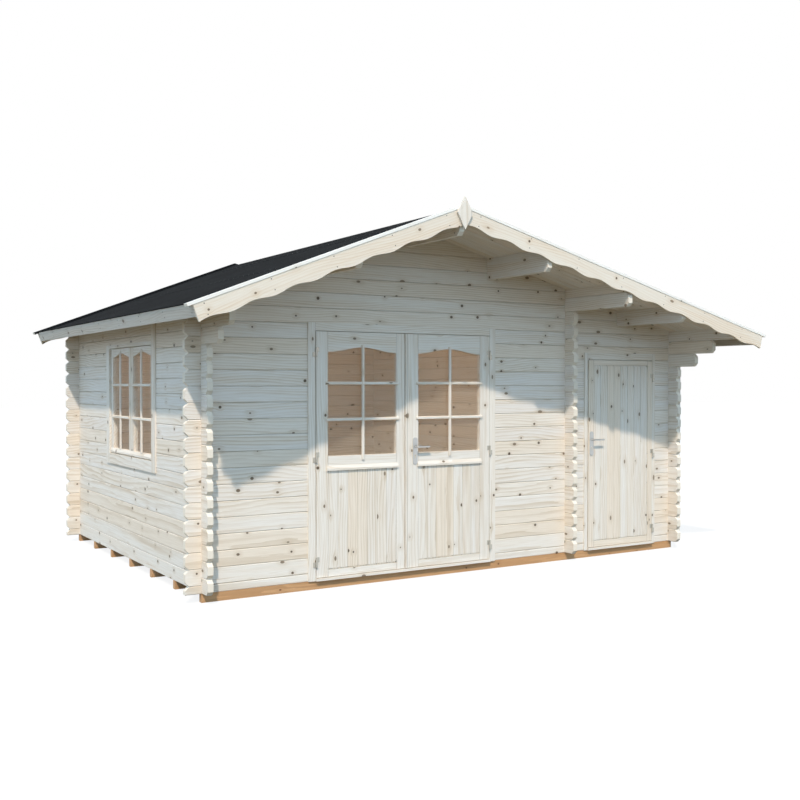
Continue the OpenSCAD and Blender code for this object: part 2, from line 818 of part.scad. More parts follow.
// Crossed bars over a light with its corner at the origin
module glazing_bars(width, side_h, rise, foot) {
    crown = side_h + rise;
    translate([width / 2, 0, -foot]) bar(foot + crown + bar_lap);
    for (i = [1 : bar_rows - 1])
        translate([-bar_lap, 0, i * crown / bar_rows]) rotate([0, 90, 0]) bar(width + 2 * bar_lap);
}

module leaf_bars(x) {
    color(pine) translate([x, leaf_y - seam, glass_z]) glazing_bars(glass_w, glass_h, glass_rise, bar_foot);
}

// A moulding that throws water off, on a face at y = 0
module drip(length) {
    rotate([90, 0, 90]) linear_extrude(length)
        polygon([[0, 0], [0, drip_h], [-drip_out, drip_nose], [-drip_out, 0]]);
}

module leaf_drip(from, to) { color(pine) translate([from, leaf_y - seam, panel_z]) drip(to - from); }

module glazed_glass(x) {
    color(glass_colour) translate([x + seam, glass_y, glass_z + seam]) leaf_slab(glass_t)
        polygon(arched(glass_w - 2 * seam, glass_h - 2 * seam, glass_rise));
}

left_glass_x = double_clear_x + stile_w;
right_glass_x = double_clear_x + double_clear_w - stile_w - glass_w;

module left_leaf_frame() { color(pine) glazed_frame(left_leaf_x, left_leaf_w, left_glass_x); }

module left_leaf_panel() { glazed_panel(left_glass_x); }

module left_leaf_glass() { glazed_glass(left_glass_x); }

module left_leaf_bars() { leaf_bars(left_glass_x); }

module left_leaf_drip() { leaf_drip(left_glass_x - drip_lap, left_glass_x + glass_w + drip_lap); }

module left_leaf_hinges() {
    color(steel) for (z = hinge_heights(double_leaf_h)) leaf_hinge(left_axis_x, z, 1);
}

module right_leaf_frame() {
    color(pine) difference() {
        union() {
            glazed_frame(right_leaf_x, right_leaf_w, right_glass_x);
            translate([right_leaf_x, leaf_y - meeting_t, leaf_z])
                cube([meeting_w, meeting_t, double_leaf_h]);
        }
        spindle_bore(right_lever_x, bore_gap);
    }
}

module right_leaf_panel() { glazed_panel(right_glass_x); }

module right_leaf_glass() { glazed_glass(right_glass_x); }

module right_leaf_bars() { leaf_bars(right_glass_x); }

module right_leaf_drip() {
    beside_plate = right_lever_x + plate_w / 2 + seam;
    leaf_drip(max(right_glass_x - drip_lap, beside_plate), right_glass_x + glass_w + drip_lap);
}

module right_leaf_hinges() {
    color(steel) for (z = hinge_heights(double_leaf_h)) leaf_hinge(right_axis_x, z, -1);
}

// The hole that a lever's spindle turns in
module spindle_bore(x, clearance) {
    translate([x, leaf_y - plate_t - over, lever_z]) rotate([-90, 0, 0])
        cylinder(r = spindle_r + clearance, h = leaf_t + 2 * plate_t + 2 * over, $fn = 48);
}

// Long plates with round ends on both faces of a leaf
module handle_plates(x) {
    color(steel) difference() {
        for (y = [leaf_y - seam, leaf_y + leaf_t + seam + plate_t])
            translate([x, y, lever_z - lever_up]) rotate([90, 0, 0]) linear_extrude(plate_t) {
                square([plate_w, plate_h - plate_w], center = true);
                for (end = [-1, 1])
                    translate([0, end * (plate_h - plate_w) / 2]) circle(d = plate_w, $fn = 64);
            }
        spindle_bore(x, pin_gap);
    }
}

// Two levers on one spindle
module lever(x) {
    reach = [leaf_y - lever_out, leaf_y + leaf_t + lever_out];
    neck = lever_out - plate_t - 2 * seam;
    color(steel) translate([x, 0, lever_z]) {
        translate([0, reach[0], 0]) rotate([-90, 0, 0])
            cylinder(r = spindle_r, h = reach[1] - reach[0], $fn = 48);
        for (y = reach) {
            translate([0, y < leaf_y ? y : y - neck, 0]) rotate([-90, 0, 0])
                cylinder(r = lever_r, h = neck, $fn = 48);
            translate([0, y, 0]) sphere(r = lever_r, $fn = 48);
            translate([0, y, 0]) rotate([0, 90, 0])
                cylinder(r = lever_r, h = lever_l - lever_r, $fn = 48);
            translate([lever_l - lever_r, y, 0]) sphere(r = lever_r, $fn = 48);
        }
    }
}

module right_leaf_plates() { handle_plates(right_lever_x); }

module right_leaf_lever() { lever(right_lever_x); }

module store_leaf_frame() {
    color(pine) difference() {
        translate([single_leaf_x, leaf_y, leaf_z]) leaf_slab(leaf_t) difference() {
            square([single_leaf_w, single_leaf_h]);
            translate([single_stile, bottom_rail])
                square([store_panel_w, store_panel_h]);
        }
        spindle_bore(store_lever_x, bore_gap);
    }
}

module store_leaf_panel() {
    boarded_panel(single_leaf_x + single_stile, store_panel_w, store_panel_h, true);
}

module store_leaf_hinges() {
    color(steel) for (z = hinge_heights(single_leaf_h)) leaf_hinge(store_axis_x, z, -1);
}

module store_leaf_plates() { handle_plates(store_lever_x); }

module store_leaf_lever() { lever(store_lever_x); }

// Puts what is drawn in the XZ plane, with the wall behind it, into the left wall at the window
module in_left_wall() { translate([left_x, window_back_y, 0]) rotate([0, 0, -90]) children(); }

// Casings, stops, and a batten on the logs above the casing nearest the front
module window_frame() {
    top = window_z + window_h;
    batten_h = deck_z(left_x - casing_t) - 2 * seam - top;
    module side() { jamb(window_casing, window_z, top, 0, casing_lap, casing_lap); }
    color(pine) in_left_wall() {
        side();
        translate([window_w, 0, 0]) mirror([1, 0, 0]) side();
        translate([window_w - window_casing, -casing_t, top + seam])
            cube([window_casing, casing_t - seam, batten_h]);
        translate([window_casing + seam, 0, top - window_head])
            head_piece(window_clear_w - 2 * seam, window_head, casing_lap);
        translate([window_casing + seam, 0, window_clear_z]) mirror([0, 0, 1])
            head_piece(window_clear_w - 2 * seam, window_apron, casing_lap);
        for (x = [window_casing + seam, window_casing + window_clear_w - seam - stop_w])
            translate([x, log_t, window_clear_z + seam])
                cube([stop_w, casing_t, window_clear_h - 2 * seam]);
        for (z = [window_clear_z + seam, window_clear_z + window_clear_h - seam - stop_w])
            translate([window_casing + stop_w + 2 * seam, log_t, z])
                cube([window_clear_w - 2 * stop_w - 4 * seam, casing_t, stop_w]);
    }
}

// Where each casement starts along the window
sash_starts = [window_casing + sash_gap, window_casing + 2 * sash_gap + sash_side];

// The lights in the casements, made smaller by a fitting gap
module casement_lights(thickness, gap) {
    for (x = sash_starts)
        translate([x + sash_w + gap, 0, light_z + gap]) leaf_slab(thickness)
            polygon(arched(light_w - 2 * gap, light_h - 2 * gap, sash_rise));
}

module window_casements() {
    color(pine) in_left_wall() difference() {
        for (x = sash_starts) translate([x, sash_y, sash_z]) cube([sash_side, sash_t, sash_h]);
        casement_lights(log_t + over, 0);
    }
}

module window_glass() {
    color(glass_colour) in_left_wall() translate([0, sash_y + sash_t / 2, 0]) casement_lights(glass_t, seam);
}

module window_bars() {
    color(pine) in_left_wall() for (x = sash_starts)
        translate([x + sash_w, sash_y - seam, light_z]) glazing_bars(light_w, light_h, sash_rise, 0);
}

module window_drips() {
    color(pine) in_left_wall() for (x = sash_starts)
        translate([x, sash_y - seam, light_z - seam - drip_h]) drip(sash_side);
}

bearers();
main_floor();
store_floor();
left_wall();
right_wall();
partition_wall();
back_wall();
back_gable();
front_wall_left();
front_wall_middle();
front_wall_right();
front_wall_head();
front_gable();
ridge_purlin();
side_purlins();
left_roof_boards();
right_roof_boards();
left_felt();
right_felt();
left_fascia();
right_fascia();
front_left_bargeboard();
front_right_bargeboard();
back_left_bargeboard();
back_right_bargeboard();
front_cover_strips();
back_cover_strips();
finial();
double_door_frame();
store_door_frame();
door_hinge_posts();
left_leaf_frame();
left_leaf_panel();
left_leaf_glass();
left_leaf_bars();
left_leaf_drip();
left_leaf_hinges();
right_leaf_frame();
right_leaf_panel();
right_leaf_glass();
right_leaf_bars();
right_leaf_drip();
right_leaf_hinges();
right_leaf_plates();
right_leaf_lever();
store_leaf_frame();
store_leaf_panel();
store_leaf_hinges();
store_leaf_plates();
store_leaf_lever();
window_frame();
window_casements();
window_glass();
window_bars();
window_drips();
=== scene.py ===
"""The looks of the log cabin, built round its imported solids, in the order a cabin goes up."""
import math

import bmesh
import bpy
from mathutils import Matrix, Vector


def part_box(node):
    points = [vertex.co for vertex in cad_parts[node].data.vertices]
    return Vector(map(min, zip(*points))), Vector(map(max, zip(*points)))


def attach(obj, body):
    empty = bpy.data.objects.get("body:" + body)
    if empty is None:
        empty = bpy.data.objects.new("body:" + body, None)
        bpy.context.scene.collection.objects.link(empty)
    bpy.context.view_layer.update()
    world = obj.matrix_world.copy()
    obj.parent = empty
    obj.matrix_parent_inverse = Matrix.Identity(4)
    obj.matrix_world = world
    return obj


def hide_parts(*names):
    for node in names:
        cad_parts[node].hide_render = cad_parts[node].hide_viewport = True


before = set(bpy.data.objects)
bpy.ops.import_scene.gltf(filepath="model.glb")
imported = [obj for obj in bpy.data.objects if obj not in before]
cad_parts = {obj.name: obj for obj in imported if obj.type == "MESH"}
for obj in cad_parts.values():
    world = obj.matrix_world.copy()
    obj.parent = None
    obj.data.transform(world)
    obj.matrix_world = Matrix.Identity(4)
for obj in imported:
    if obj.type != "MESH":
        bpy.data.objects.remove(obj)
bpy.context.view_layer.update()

# Bearers: seven sawn softwood battens, pressure treated against rot, laid on the ground across
# the cabin. They carry the floor and the first round of logs.


def linear(colour):
    """An sRGB hex colour as linear red, green, blue and alpha."""
    parts = [int(colour[i:i + 2], 16) / 255 for i in (1, 3, 5)]
    return tuple(c / 12.92 if c <= 0.04045 else ((c + 0.055) / 1.055) ** 2.4 for c in parts) + (1,)


def add(tree, kind, inputs=None, **settings):
    """Adds a node; an input takes a value, a node, or a node with the name of its output."""
    node = tree.nodes.new(kind)
    for name, value in settings.items():
        setattr(node, name, value)
    for key, value in (inputs or {}).items():
        if isinstance(value, bpy.types.Node):
            tree.links.new(value.outputs[0], node.inputs[key])
        elif isinstance(value, tuple) and isinstance(value[0], bpy.types.Node):
            tree.links.new(value[0].outputs[value[1]], node.inputs[key])
        else:
            node.inputs[key].default_value = value
    return node


def new_material(name):
    """An empty material: its tree, and the shader at its end."""
    material = bpy.data.materials.new(name)
    material.use_nodes = True
    tree = material.node_tree
    return material, tree, tree.nodes["Principled BSDF"]


def dress(material, *names):
    """Gives CAD nodes a material."""
    for name in names:
        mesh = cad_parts[name].data
        mesh.materials.clear()
        mesh.materials.append(material)


# The roof's ridge line and the pitch of its two slopes
RIDGE_X = -0.652
RIDGE_Z = 2.8646
LEFT_PITCH = math.radians(21)
RIGHT_PITCH = math.radians(14.6)

# Sizes in the wood's figure, in metres: growth rings on the faces, on cut ends and in a knot, the
# grid that has a knot in some of its cells, and the dark lines at joints and beside rails
AXES = ("X", "Y", "Z")
RING, END_RING, KNOT_RING = 0.016, 0.007, 0.0028
KNOT_ALONG, KNOT_ACROSS = 0.34, 0.09
KNOT_SMALL, KNOT_LARGE, KNOT_RIM = 0.0045, 0.0145, 0.72
HALO_OUTER, HALO_INNER = 0.045, 0.006
JOINT_WIDTH, JOINT_DARK = 0.0035, 0.45
RAIL_SEAM, RAIL_SEAM_DARK = 0.0011, 0.55


def softwood(name, grain, width, board, early, late, knot, tints, end, rails=(), sloped=False,
             knot_share=0.48, roughness=0.62):
    """Planed softwood. The grain runs along one axis and a face is measured across another one.
    board is the axis, start and pitch that part one log or board from the next, rails are spans
    across the width in which the grain runs across, and sloped turns the grain down the roof."""
    material, tree, shader = new_material(name)
    place = add(tree, "ShaderNodeTexCoord")
    where = add(tree, "ShaderNodeSeparateXYZ", {0: (place, "Object")})
    if sloped:
        right = add(tree, "ShaderNodeMath", {0: (where, "X"), 1: RIDGE_X},
                    operation="GREATER_THAN")
        turn = add(tree, "ShaderNodeMath", {
            0: right, 1: RIGHT_PITCH + LEFT_PITCH, 2: -LEFT_PITCH}, operation="MULTIPLY_ADD")
        turned = add(tree, "ShaderNodeVectorRotate", {
            "Vector": (place, "Object"), "Center": (RIDGE_X, 0, RIDGE_Z), "Angle": (turn, 0)},
            rotation_type="Y_AXIS", invert=True)
        turned_normal = add(tree, "ShaderNodeVectorRotate", {
            "Vector": (place, "Normal"), "Center": (0, 0, 0), "Angle": (turn, 0)},
            rotation_type="Y_AXIS", invert=True)
        where = add(tree, "ShaderNodeSeparateXYZ", {0: turned})
        facing = add(tree, "ShaderNodeSeparateXYZ", {0: turned_normal})
    else:
        facing = add(tree, "ShaderNodeSeparateXYZ", {0: (place, "Normal")})
    depth = next(axis for axis in AXES if axis not in (grain, width))
    along, across = (where, grain), (where, width)

    # Rails lie across the uprights, so there the two directions change places
    inside = seam = None
    for middle, half in rails:
        hit = add(tree, "ShaderNodeMath", {0: across, 1: middle, 2: half}, operation="COMPARE")
        near = add(tree, "ShaderNodeMath", {0: across, 1: middle}, operation="SUBTRACT")
        far = add(tree, "ShaderNodeMath", {0: near}, operation="ABSOLUTE")
        joint = add(tree, "ShaderNodeMath", {0: far, 1: half, 2: RAIL_SEAM}, operation="COMPARE")
        inside = hit if inside is None else add(
            tree, "ShaderNodeMath", {0: inside, 1: hit}, operation="MAXIMUM")
        seam = joint if seam is None else add(
            tree, "ShaderNodeMath", {0: seam, 1: joint}, operation="MAXIMUM")
    if rails:
        swapped = [add(tree, "ShaderNodeMix", {"Factor": inside, "A": a, "B": b}, data_type="FLOAT")
                   for a, b in ((along, across), (across, along))]
        along, across = (swapped[0], 0), (swapped[1], 0)

    # A number for each log or board, and three random shares from it
    axis, start, pitch = board
    rise = add(tree, "ShaderNodeMath", {0: (where, axis), 1: start}, operation="SUBTRACT")
    step = add(tree, "ShaderNodeMath", {0: rise, 1: pitch}, operation="DIVIDE")
    number = add(tree, "ShaderNodeMath", {0: step}, operation="FLOOR")
    draw = add(tree, "ShaderNodeTexWhiteNoise", {"W": number}, noise_dimensions="1D")
    shares = add(tree, "ShaderNodeSeparateColor", {0: (draw, "Color")})
    shift = add(tree, "ShaderNodeMath", {0: (shares, "Red"), 1: 37.0}, operation="MULTIPLY")
    run = add(tree, "ShaderNodeMath", {0: along, 1: shift}, operation="ADD")

    # Knots: round or drawn out along the grain, with a halo in which the grain is darker
    flat = add(tree, "ShaderNodeCombineXYZ", {0: run, 1: across, 2: 0.0})
    cells = add(tree, "ShaderNodeVectorMath", {
        0: flat, 1: (1 / KNOT_ALONG, 1 / KNOT_ACROSS, 1)}, operation="MULTIPLY")
    spots = add(tree, "ShaderNodeTexVoronoi", {
        "Vector": cells, "Scale": 1.0, "Randomness": 0.9}, voronoi_dimensions="2D", feature="F1")
    away = add(tree, "ShaderNodeVectorMath", {0: cells, 1: (spots, "Position")},
               operation="SUBTRACT")
    away_m = add(tree, "ShaderNodeVectorMath", {0: away, 1: (KNOT_ALONG, KNOT_ACROSS, 0)},
                 operation="MULTIPLY")
    lot = add(tree, "ShaderNodeSeparateColor", {0: (spots, "Color")})
    drawn_out = add(tree, "ShaderNodeMapRange", {
        "Value": (lot, "Blue"), "To Min": 1.0, "To Max": 0.45})
    oval = add(tree, "ShaderNodeCombineXYZ", {0: drawn_out, 1: 1.0, 2: 0.0})
    round_m = add(tree, "ShaderNodeVectorMath", {0: away_m, 1: oval}, operation="MULTIPLY")
    distance = add(tree, "ShaderNodeVectorMath", {0: round_m}, operation="LENGTH")
    has_knot = add(tree, "ShaderNodeMath", {0: (lot, "Red"), 1: knot_share},
                   operation="LESS_THAN")
    radius = add(tree, "ShaderNodeMapRange", {
        "Value": (lot, "Green"), "To Min": KNOT_SMALL, "To Max": KNOT_LARGE})
    rim = add(tree, "ShaderNodeMath", {0: radius, 1: KNOT_RIM}, operation="MULTIPLY")
    core = add(tree, "ShaderNodeMapRange", {
        "Value": (distance, "Value"), "From Min": radius, "From Max": rim,
        "To Min": 0, "To Max": 1}, interpolation_type="SMOOTHSTEP")
    halo = add(tree, "ShaderNodeMapRange", {
        "Value": (distance, "Value"), "From Min": HALO_OUTER, "From Max": HALO_INNER,
        "To Min": 0, "To Max": 1}, interpolation_type="SMOOTHSTEP")
    core_on = add(tree, "ShaderNodeMath", {0: core, 1: has_knot}, operation="MULTIPLY")
    halo_on = add(tree, "ShaderNodeMath", {0: halo, 1: has_knot}, operation="MULTIPLY")

    # The grain swings round a knot
    side = add(tree, "ShaderNodeSeparateXYZ", {0: away_m})
    push = add(tree, "ShaderNodeMath", {0: (side, "Y"), 1: halo_on}, operation="MULTIPLY")
    bent = add(tree, "ShaderNodeMath", {0: push, 1: -0.75, 2: across}, operation="MULTIPLY_ADD")

    # Growth rings round a pith that wanders along the log, cut by the face as long arches
    pith = add(tree, "ShaderNodeMath", {0: (shares, "Green"), 1: 0.10, 2: -0.05},
               operation="MULTIPLY_ADD")
    wander = add(tree, "ShaderNodeTexNoise", {"W": run, "Scale": 0.7, "Detail": 1.5},
                 noise_dimensions="1D")
    sway = add(tree, "ShaderNodeMath", {0: (wander, 0), 1: 0.13, 2: pith},
               operation="MULTIPLY_ADD")
    base = add(tree, "ShaderNodeMath", {0: bent, 1: sway}, operation="SUBTRACT")
    deep = add(tree, "ShaderNodeMath", {0: (where, depth), 1: 0.8, 2: 0.03},
               operation="MULTIPLY_ADD")
    section = add(tree, "ShaderNodeCombineXYZ", {0: base, 1: deep, 2: 0.0})
    ripple_at = add(tree, "ShaderNodeCombineXYZ", {0: run, 1: bent, 2: (where, depth)})
    ripple_at_m = add(tree, "ShaderNodeVectorMath", {0: ripple_at, 1: (1.6, 26, 26)},
                      operation="MULTIPLY")
    ripple = add(tree, "ShaderNodeTexNoise", {"Vector": ripple_at_m, "Scale": 1.0, "Detail": 3.0})
    reach = add(tree, "ShaderNodeVectorMath", {0: section}, operation="LENGTH")
    uneven = add(tree, "ShaderNodeMath", {0: (ripple, 0), 1: 0.020, 2: (reach, "Value")},
                 operation="MULTIPLY_ADD")
    turns = add(tree, "ShaderNodeMath", {0: uneven, 1: RING}, operation="DIVIDE")
    saw = add(tree, "ShaderNodeMath", {0: turns}, operation="FRACT")
    late_line = add(tree, "ShaderNodeMapRange", {
        "Value": saw, "From Min": 0.35, "From Max": 0.95, "To Min": 0, "To Max": 1},
        interpolation_type="SMOOTHSTEP")

    # Fine fibres, drawn 3 mm wide so that they show from some metres away, and broad tones
    fibre_at = add(tree, "ShaderNodeVectorMath", {0: ripple_at, 1: (4, 330, 330)},
                   operation="MULTIPLY")
    fibre = add(tree, "ShaderNodeTexNoise", {
        "Vector": fibre_at, "Scale": 1.0, "Detail": 4.0, "Roughness": 0.65})
    broad_at = add(tree, "ShaderNodeVectorMath", {0: ripple_at, 1: (0.8, 14, 14)},
                   operation="MULTIPLY")
    broad = add(tree, "ShaderNodeTexNoise", {"Vector": broad_at, "Scale": 1.0, "Detail": 3.0})

    # The log's own tint, warmed in places, with the rings, the fibres and the knots over it
    ground = add(tree, "ShaderNodeValToRGB", {0: (shares, "Blue")})
    ground.color_ramp.elements[0].color = linear(tints[0])
    ground.color_ramp.elements[1].color = linear(tints[2])
    ground.color_ramp.elements.new(0.5).color = linear(tints[1])
    line_share = add(tree, "ShaderNodeMapRange", {
        "Value": (broad, 0), "From Min": 0.36, "From Max": 0.66, "To Min": 0.10, "To Max": 0.62})
    line_on = add(tree, "ShaderNodeMath", {0: late_line, 1: line_share}, operation="MULTIPLY")
    fibre_on = add(tree, "ShaderNodeMapRange", {
        "Value": (fibre, 0), "From Min": 0.46, "From Max": 0.78, "To Min": 0, "To Max": 0.55})
    warm = add(tree, "ShaderNodeMapRange", {
        "Value": (broad, 0), "From Min": 0.40, "From Max": 0.72, "To Min": 0, "To Max": 0.55})
    ringed = add(tree, "ShaderNodeMath", {0: halo_on, 1: 0.34}, operation="MULTIPLY")
    toned = add(tree, "ShaderNodeMix", {"Factor": warm, 6: ground, 7: linear(early)},
                data_type="RGBA")
    for factor in (line_on, fibre_on, ringed):
        toned = add(tree, "ShaderNodeMix", {"Factor": factor, 6: (toned, 2), 7: linear(late)},
                    data_type="RGBA")
    sound = add(tree, "ShaderNodeMix", {
        "Factor": (lot, "Blue"), 6: linear(knot), 7: linear(late)}, data_type="RGBA")
    dead = add(tree, "ShaderNodeMix", {"Factor": 0.6, 6: (sound, 2), 7: linear(knot)},
               data_type="RGBA")
    knot_turns = add(tree, "ShaderNodeMath", {0: (distance, "Value"), 1: KNOT_RING},
                     operation="DIVIDE")
    knot_saw = add(tree, "ShaderNodeMath", {0: knot_turns}, operation="FRACT")
    knot_ring = add(tree, "ShaderNodeMath", {0: knot_saw, 1: 0.3}, operation="MULTIPLY")
    dead = add(tree, "ShaderNodeMix", {"Factor": knot_ring, 6: (dead, 2), 7: linear(late)},
               data_type="RGBA")
    toned = add(tree, "ShaderNodeMix", {"Factor": core_on, 6: (toned, 2), 7: (dead, 2)},
                data_type="RGBA")

    # Cut ends show the rings as arcs and take a warmer tone
    local = add(tree, "ShaderNodeMath", {0: step}, operation="FRACT")
    local_m = add(tree, "ShaderNodeMath", {0: local, 1: pitch}, operation="MULTIPLY")
    end_at = add(tree, "ShaderNodeCombineXYZ", {0: local_m, 1: (where, depth), 2: 0.0})
    end_from = add(tree, "ShaderNodeVectorMath", {0: end_at, 1: (0.05, 0.03, 0)},
                   operation="SUBTRACT")
    end_reach = add(tree, "ShaderNodeVectorMath", {0: end_from}, operation="LENGTH")
    end_turns = add(tree, "ShaderNodeMath", {0: (end_reach, "Value"), 1: END_RING},
                    operation="DIVIDE")
    end_saw = add(tree, "ShaderNodeMath", {0: end_turns}, operation="FRACT")
    end_tone = add(tree, "ShaderNodeMix", {"Factor": end_saw, 6: linear(end), 7: linear(late)},
                   data_type="RGBA")
    end_half = add(tree, "ShaderNodeMix", {"Factor": 0.35, 6: linear(end), 7: (end_tone, 2)},
                   data_type="RGBA")
    end_on = add(tree, "ShaderNodeMath", {0: (facing, grain)}, operation="ABSOLUTE")
    is_end = add(tree, "ShaderNodeMapRange", {
        "Value": end_on, "From Min": 0.55, "From Max": 0.75, "To Min": 0, "To Max": 1})
    toned = add(tree, "ShaderNodeMix", {"Factor": is_end, 6: (toned, 2), 7: (end_half, 2)},
                data_type="RGBA")

    # Dust and shade darken the joints between logs or boards and beside the rails
    local_rest = add(tree, "ShaderNodeMath", {0: pitch, 1: local_m}, operation="SUBTRACT")
    brink = add(tree, "ShaderNodeMath", {0: local_m, 1: local_rest}, operation="MINIMUM")
    drawn = add(tree, "ShaderNodeMapRange", {
        "Value": brink, "From Min": 0, "From Max": JOINT_WIDTH,
        "To Min": JOINT_DARK, "To Max": 0})
    if seam:
        faint = add(tree, "ShaderNodeMath", {0: seam, 1: RAIL_SEAM_DARK}, operation="MULTIPLY")
        drawn = add(tree, "ShaderNodeMath", {0: drawn, 1: faint}, operation="MAXIMUM")
    level = add(tree, "ShaderNodeMath", {0: (facing, depth)}, operation="ABSOLUTE")
    shown = add(tree, "ShaderNodeMath", {0: level, 1: drawn}, operation="MULTIPLY")
    toned = add(tree, "ShaderNodeMix", {"Factor": shown, 6: (toned, 2), 7: linear(knot)},
                data_type="RGBA")
    tree.links.new(toned.outputs[2], shader.inputs["Base Color"])

    # The fibres stand up a little and are duller than the wood between them
    gloss = add(tree, "ShaderNodeMapRange", {
        "Value": (fibre, 0), "From Min": 0.3, "From Max": 0.8,
        "To Min": roughness - 0.08, "To Max": roughness + 0.12})
    tree.links.new(gloss.outputs[0], shader.inputs["Roughness"])
    relief = add(tree, "ShaderNodeMath", {0: (fibre, 0), 1: line_on}, operation="SUBTRACT")
    bump = add(tree, "ShaderNodeBump", {"Strength": 0.35, "Distance": 0.0006, "Height": relief})
    tree.links.new(bump.outputs[0], shader.inputs["Normal"])
    shader.inputs["Specular IOR Level"].default_value = 0.32
    return material


# Treated pine is stained through by its salts: orange brown, with sawn, rough faces.
treated_pine = softwood(
    "pressure treated pine", "X", "Z", ("Y", -1.8, 0.567), early="#D8AE84", late="#AE845C",
    knot="#5A3A22", tints=("#CFA278", "#C6986C", "#D8AF86"), end="#CDA27A", roughness=0.78)
dress(treated_pine, "bearers")

# Log walls: planed spruce logs 44 by 120 mm, laid with crossing ends and notched over each other.
# Front and back courses lie half a course above those of the sides, so each has its own count.
# Spruce is pale and matt, with thin brown rings, fine fibres and small dark knots.
SPRUCE = dict(early="#E6DACA", late="#C3B199", knot="#33241A", end="#F1E9DC",
              tints=("#E8E4E0", "#ECE8E2", "#EBE0D2"))
COURSE, FRONT_START, SIDE_START = 0.120, 0.006, 0.066
front_logs = softwood("planed spruce, logs along the front", "X", "Z",
                      ("Z", FRONT_START, COURSE), **SPRUCE)
side_logs = softwood("planed spruce, logs along the sides", "Y", "Z",
                     ("Z", SIDE_START, COURSE), **SPRUCE)
dress(front_logs, "back_wall", "back_gable", "front_wall_left", "front_wall_middle",
      "front_wall_right", "front_wall_head", "front_gable")
dress(side_logs, "left_wall", "right_wall", "partition_wall")

# Purlins: four deep beams of planed spruce, laid from gable to gable in notches of the gable logs
# and chamfered at the ends. The roof boards are nailed to them.
PURLIN_BY_PURLIN = ("X", -3.25, 0.5)
purlin_wood = softwood("planed spruce, purlins", "Y", "Z", PURLIN_BY_PURLIN, **SPRUCE)
dress(purlin_wood, "ridge_purlin", "side_purlins")

# Floor: tongued and grooved spruce boards, nailed down on the bearers from front to back, one
# field of boards in the main room and one in the store.


def loft(name, rings):
    """A closed mesh through rings of points, flat at both ends."""
    shape = bmesh.new()
    loops = [[shape.verts.new(point) for point in ring] for ring in rings]
    for near, far in zip(loops, loops[1:]):
        for i in range(len(near)):
            shape.faces.new((near[i - 1], near[i], far[i], far[i - 1]))
    shape.faces.new(loops[0])
    shape.faces.new(loops[-1])
    bmesh.ops.recalc_face_normals(shape, faces=shape.faces)
    mesh = bpy.data.meshes.new(name)
    shape.to_mesh(mesh)
    shape.free()
    return mesh


rows_of_copies = bpy.data.node_groups.new("rows of copies", "GeometryNodeTree")
ROW_INPUTS = {
    title: rows_of_copies.interface.new_socket(
        name=title, in_out="INPUT", socket_type=kind).identifier
    for title, kind in (
        ("One", "NodeSocketGeometry"), ("Count", "NodeSocketInt"), ("Step", "NodeSocketVector"),
        ("Rows", "NodeSocketInt"), ("Row step", "NodeSocketVector"),
        ("Finish", "NodeSocketMaterial"))}
rows_of_copies.interface.new_socket(
    name="All", in_out="OUTPUT", socket_type="NodeSocketGeometry")
given = add(rows_of_copies, "NodeGroupInput")
line = add(rows_of_copies, "GeometryNodeMeshLine", {
    "Count": (given, "Count"), "Offset": (given, "Step")})
row = add(rows_of_copies, "GeometryNodeInstanceOnPoints", {
    "Points": line, "Instance": (given, "One")})
lines = add(rows_of_copies, "GeometryNodeMeshLine", {
    "Count": (given, "Rows"), "Offset": (given, "Row step")})
rows = add(rows_of_copies, "GeometryNodeInstanceOnPoints", {"Points": lines, "Instance": row})
real = add(rows_of_copies, "GeometryNodeRealizeInstances", {"Geometry": rows})
coated = add(rows_of_copies, "GeometryNodeSetMaterial", {
    "Geometry": real, "Material": (given, "Finish")})
add(rows_of_copies, "NodeGroupOutput", {"All": coated})


def lay_out(one, finish, body, count=1, step=(0, 0, 0), rows=1, row_step=(0, 0, 0),
            stands_for=()):
    """Repeats a mesh in rows as one plain piece on a body."""
    piece = bpy.data.objects.new(one.name, one)
    bpy.context.scene.collection.objects.link(piece)
    modifier = piece.modifiers.new("rows", "NODES")
    modifier.node_group = rows_of_copies
    for title, value in (("Count", count), ("Step", step), ("Rows", rows), ("Row step", row_step),
                         ("Finish", finish)):
        modifier[ROW_INPUTS[title]] = value
    settled = piece.evaluated_get(bpy.context.evaluated_depsgraph_get())
    plain = bpy.data.meshes.new_from_object(settled)
    piece.modifiers.clear()
    piece.data = plain
    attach(piece, body)
    if stands_for:
        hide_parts(*stands_for)
    return piece


BOARD, FLOOR_GAP, FLOOR_CHAMFER = 0.0867, 0.0004, 0.0015
for node in ("main_floor", "store_floor"):
    low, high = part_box(node)
    count = round((high.x - low.x) / BOARD)
    step = (high.x - low.x) / count
    thick = high.z - low.z
    floor_wood = softwood(f"planed spruce, {node} boards", "Y", "X", ("X", low.x, step), **SPRUCE)
    section = [(FLOOR_GAP, 0), (step - FLOOR_GAP, 0), (step - FLOOR_GAP, thick - FLOOR_CHAMFER),
               (step - FLOOR_GAP - FLOOR_CHAMFER, thick), (FLOOR_GAP + FLOOR_CHAMFER, thick),
               (FLOOR_GAP, thick - FLOOR_CHAMFER)]
    board = loft(node + "_boards", [[(low.x + x, y, low.z + z) for x, z in section]
                                    for y in (low.y, high.y)])
    lay_out(board, floor_wood, "cabin", count, (step, 0, 0), stands_for=(node,))

# Roof boards: spruce boards with a V joint, nailed to the purlins down each slope. Their
# undersides are the ceiling and the soffit of the front overhang.
DECK = 0.019
ROOF_FRONT, ROOF_BACK = -2.524, 1.849
SLOPES = ((-1, LEFT_PITCH, 2.068 / math.cos(LEFT_PITCH), "left"),
          (1, RIGHT_PITCH, 3.313 / math.cos(RIGHT_PITCH), "right"))
RIDGE_GAP = 0.00015
ROOF_GAP, V_JOINT = 0.0003, 0.004


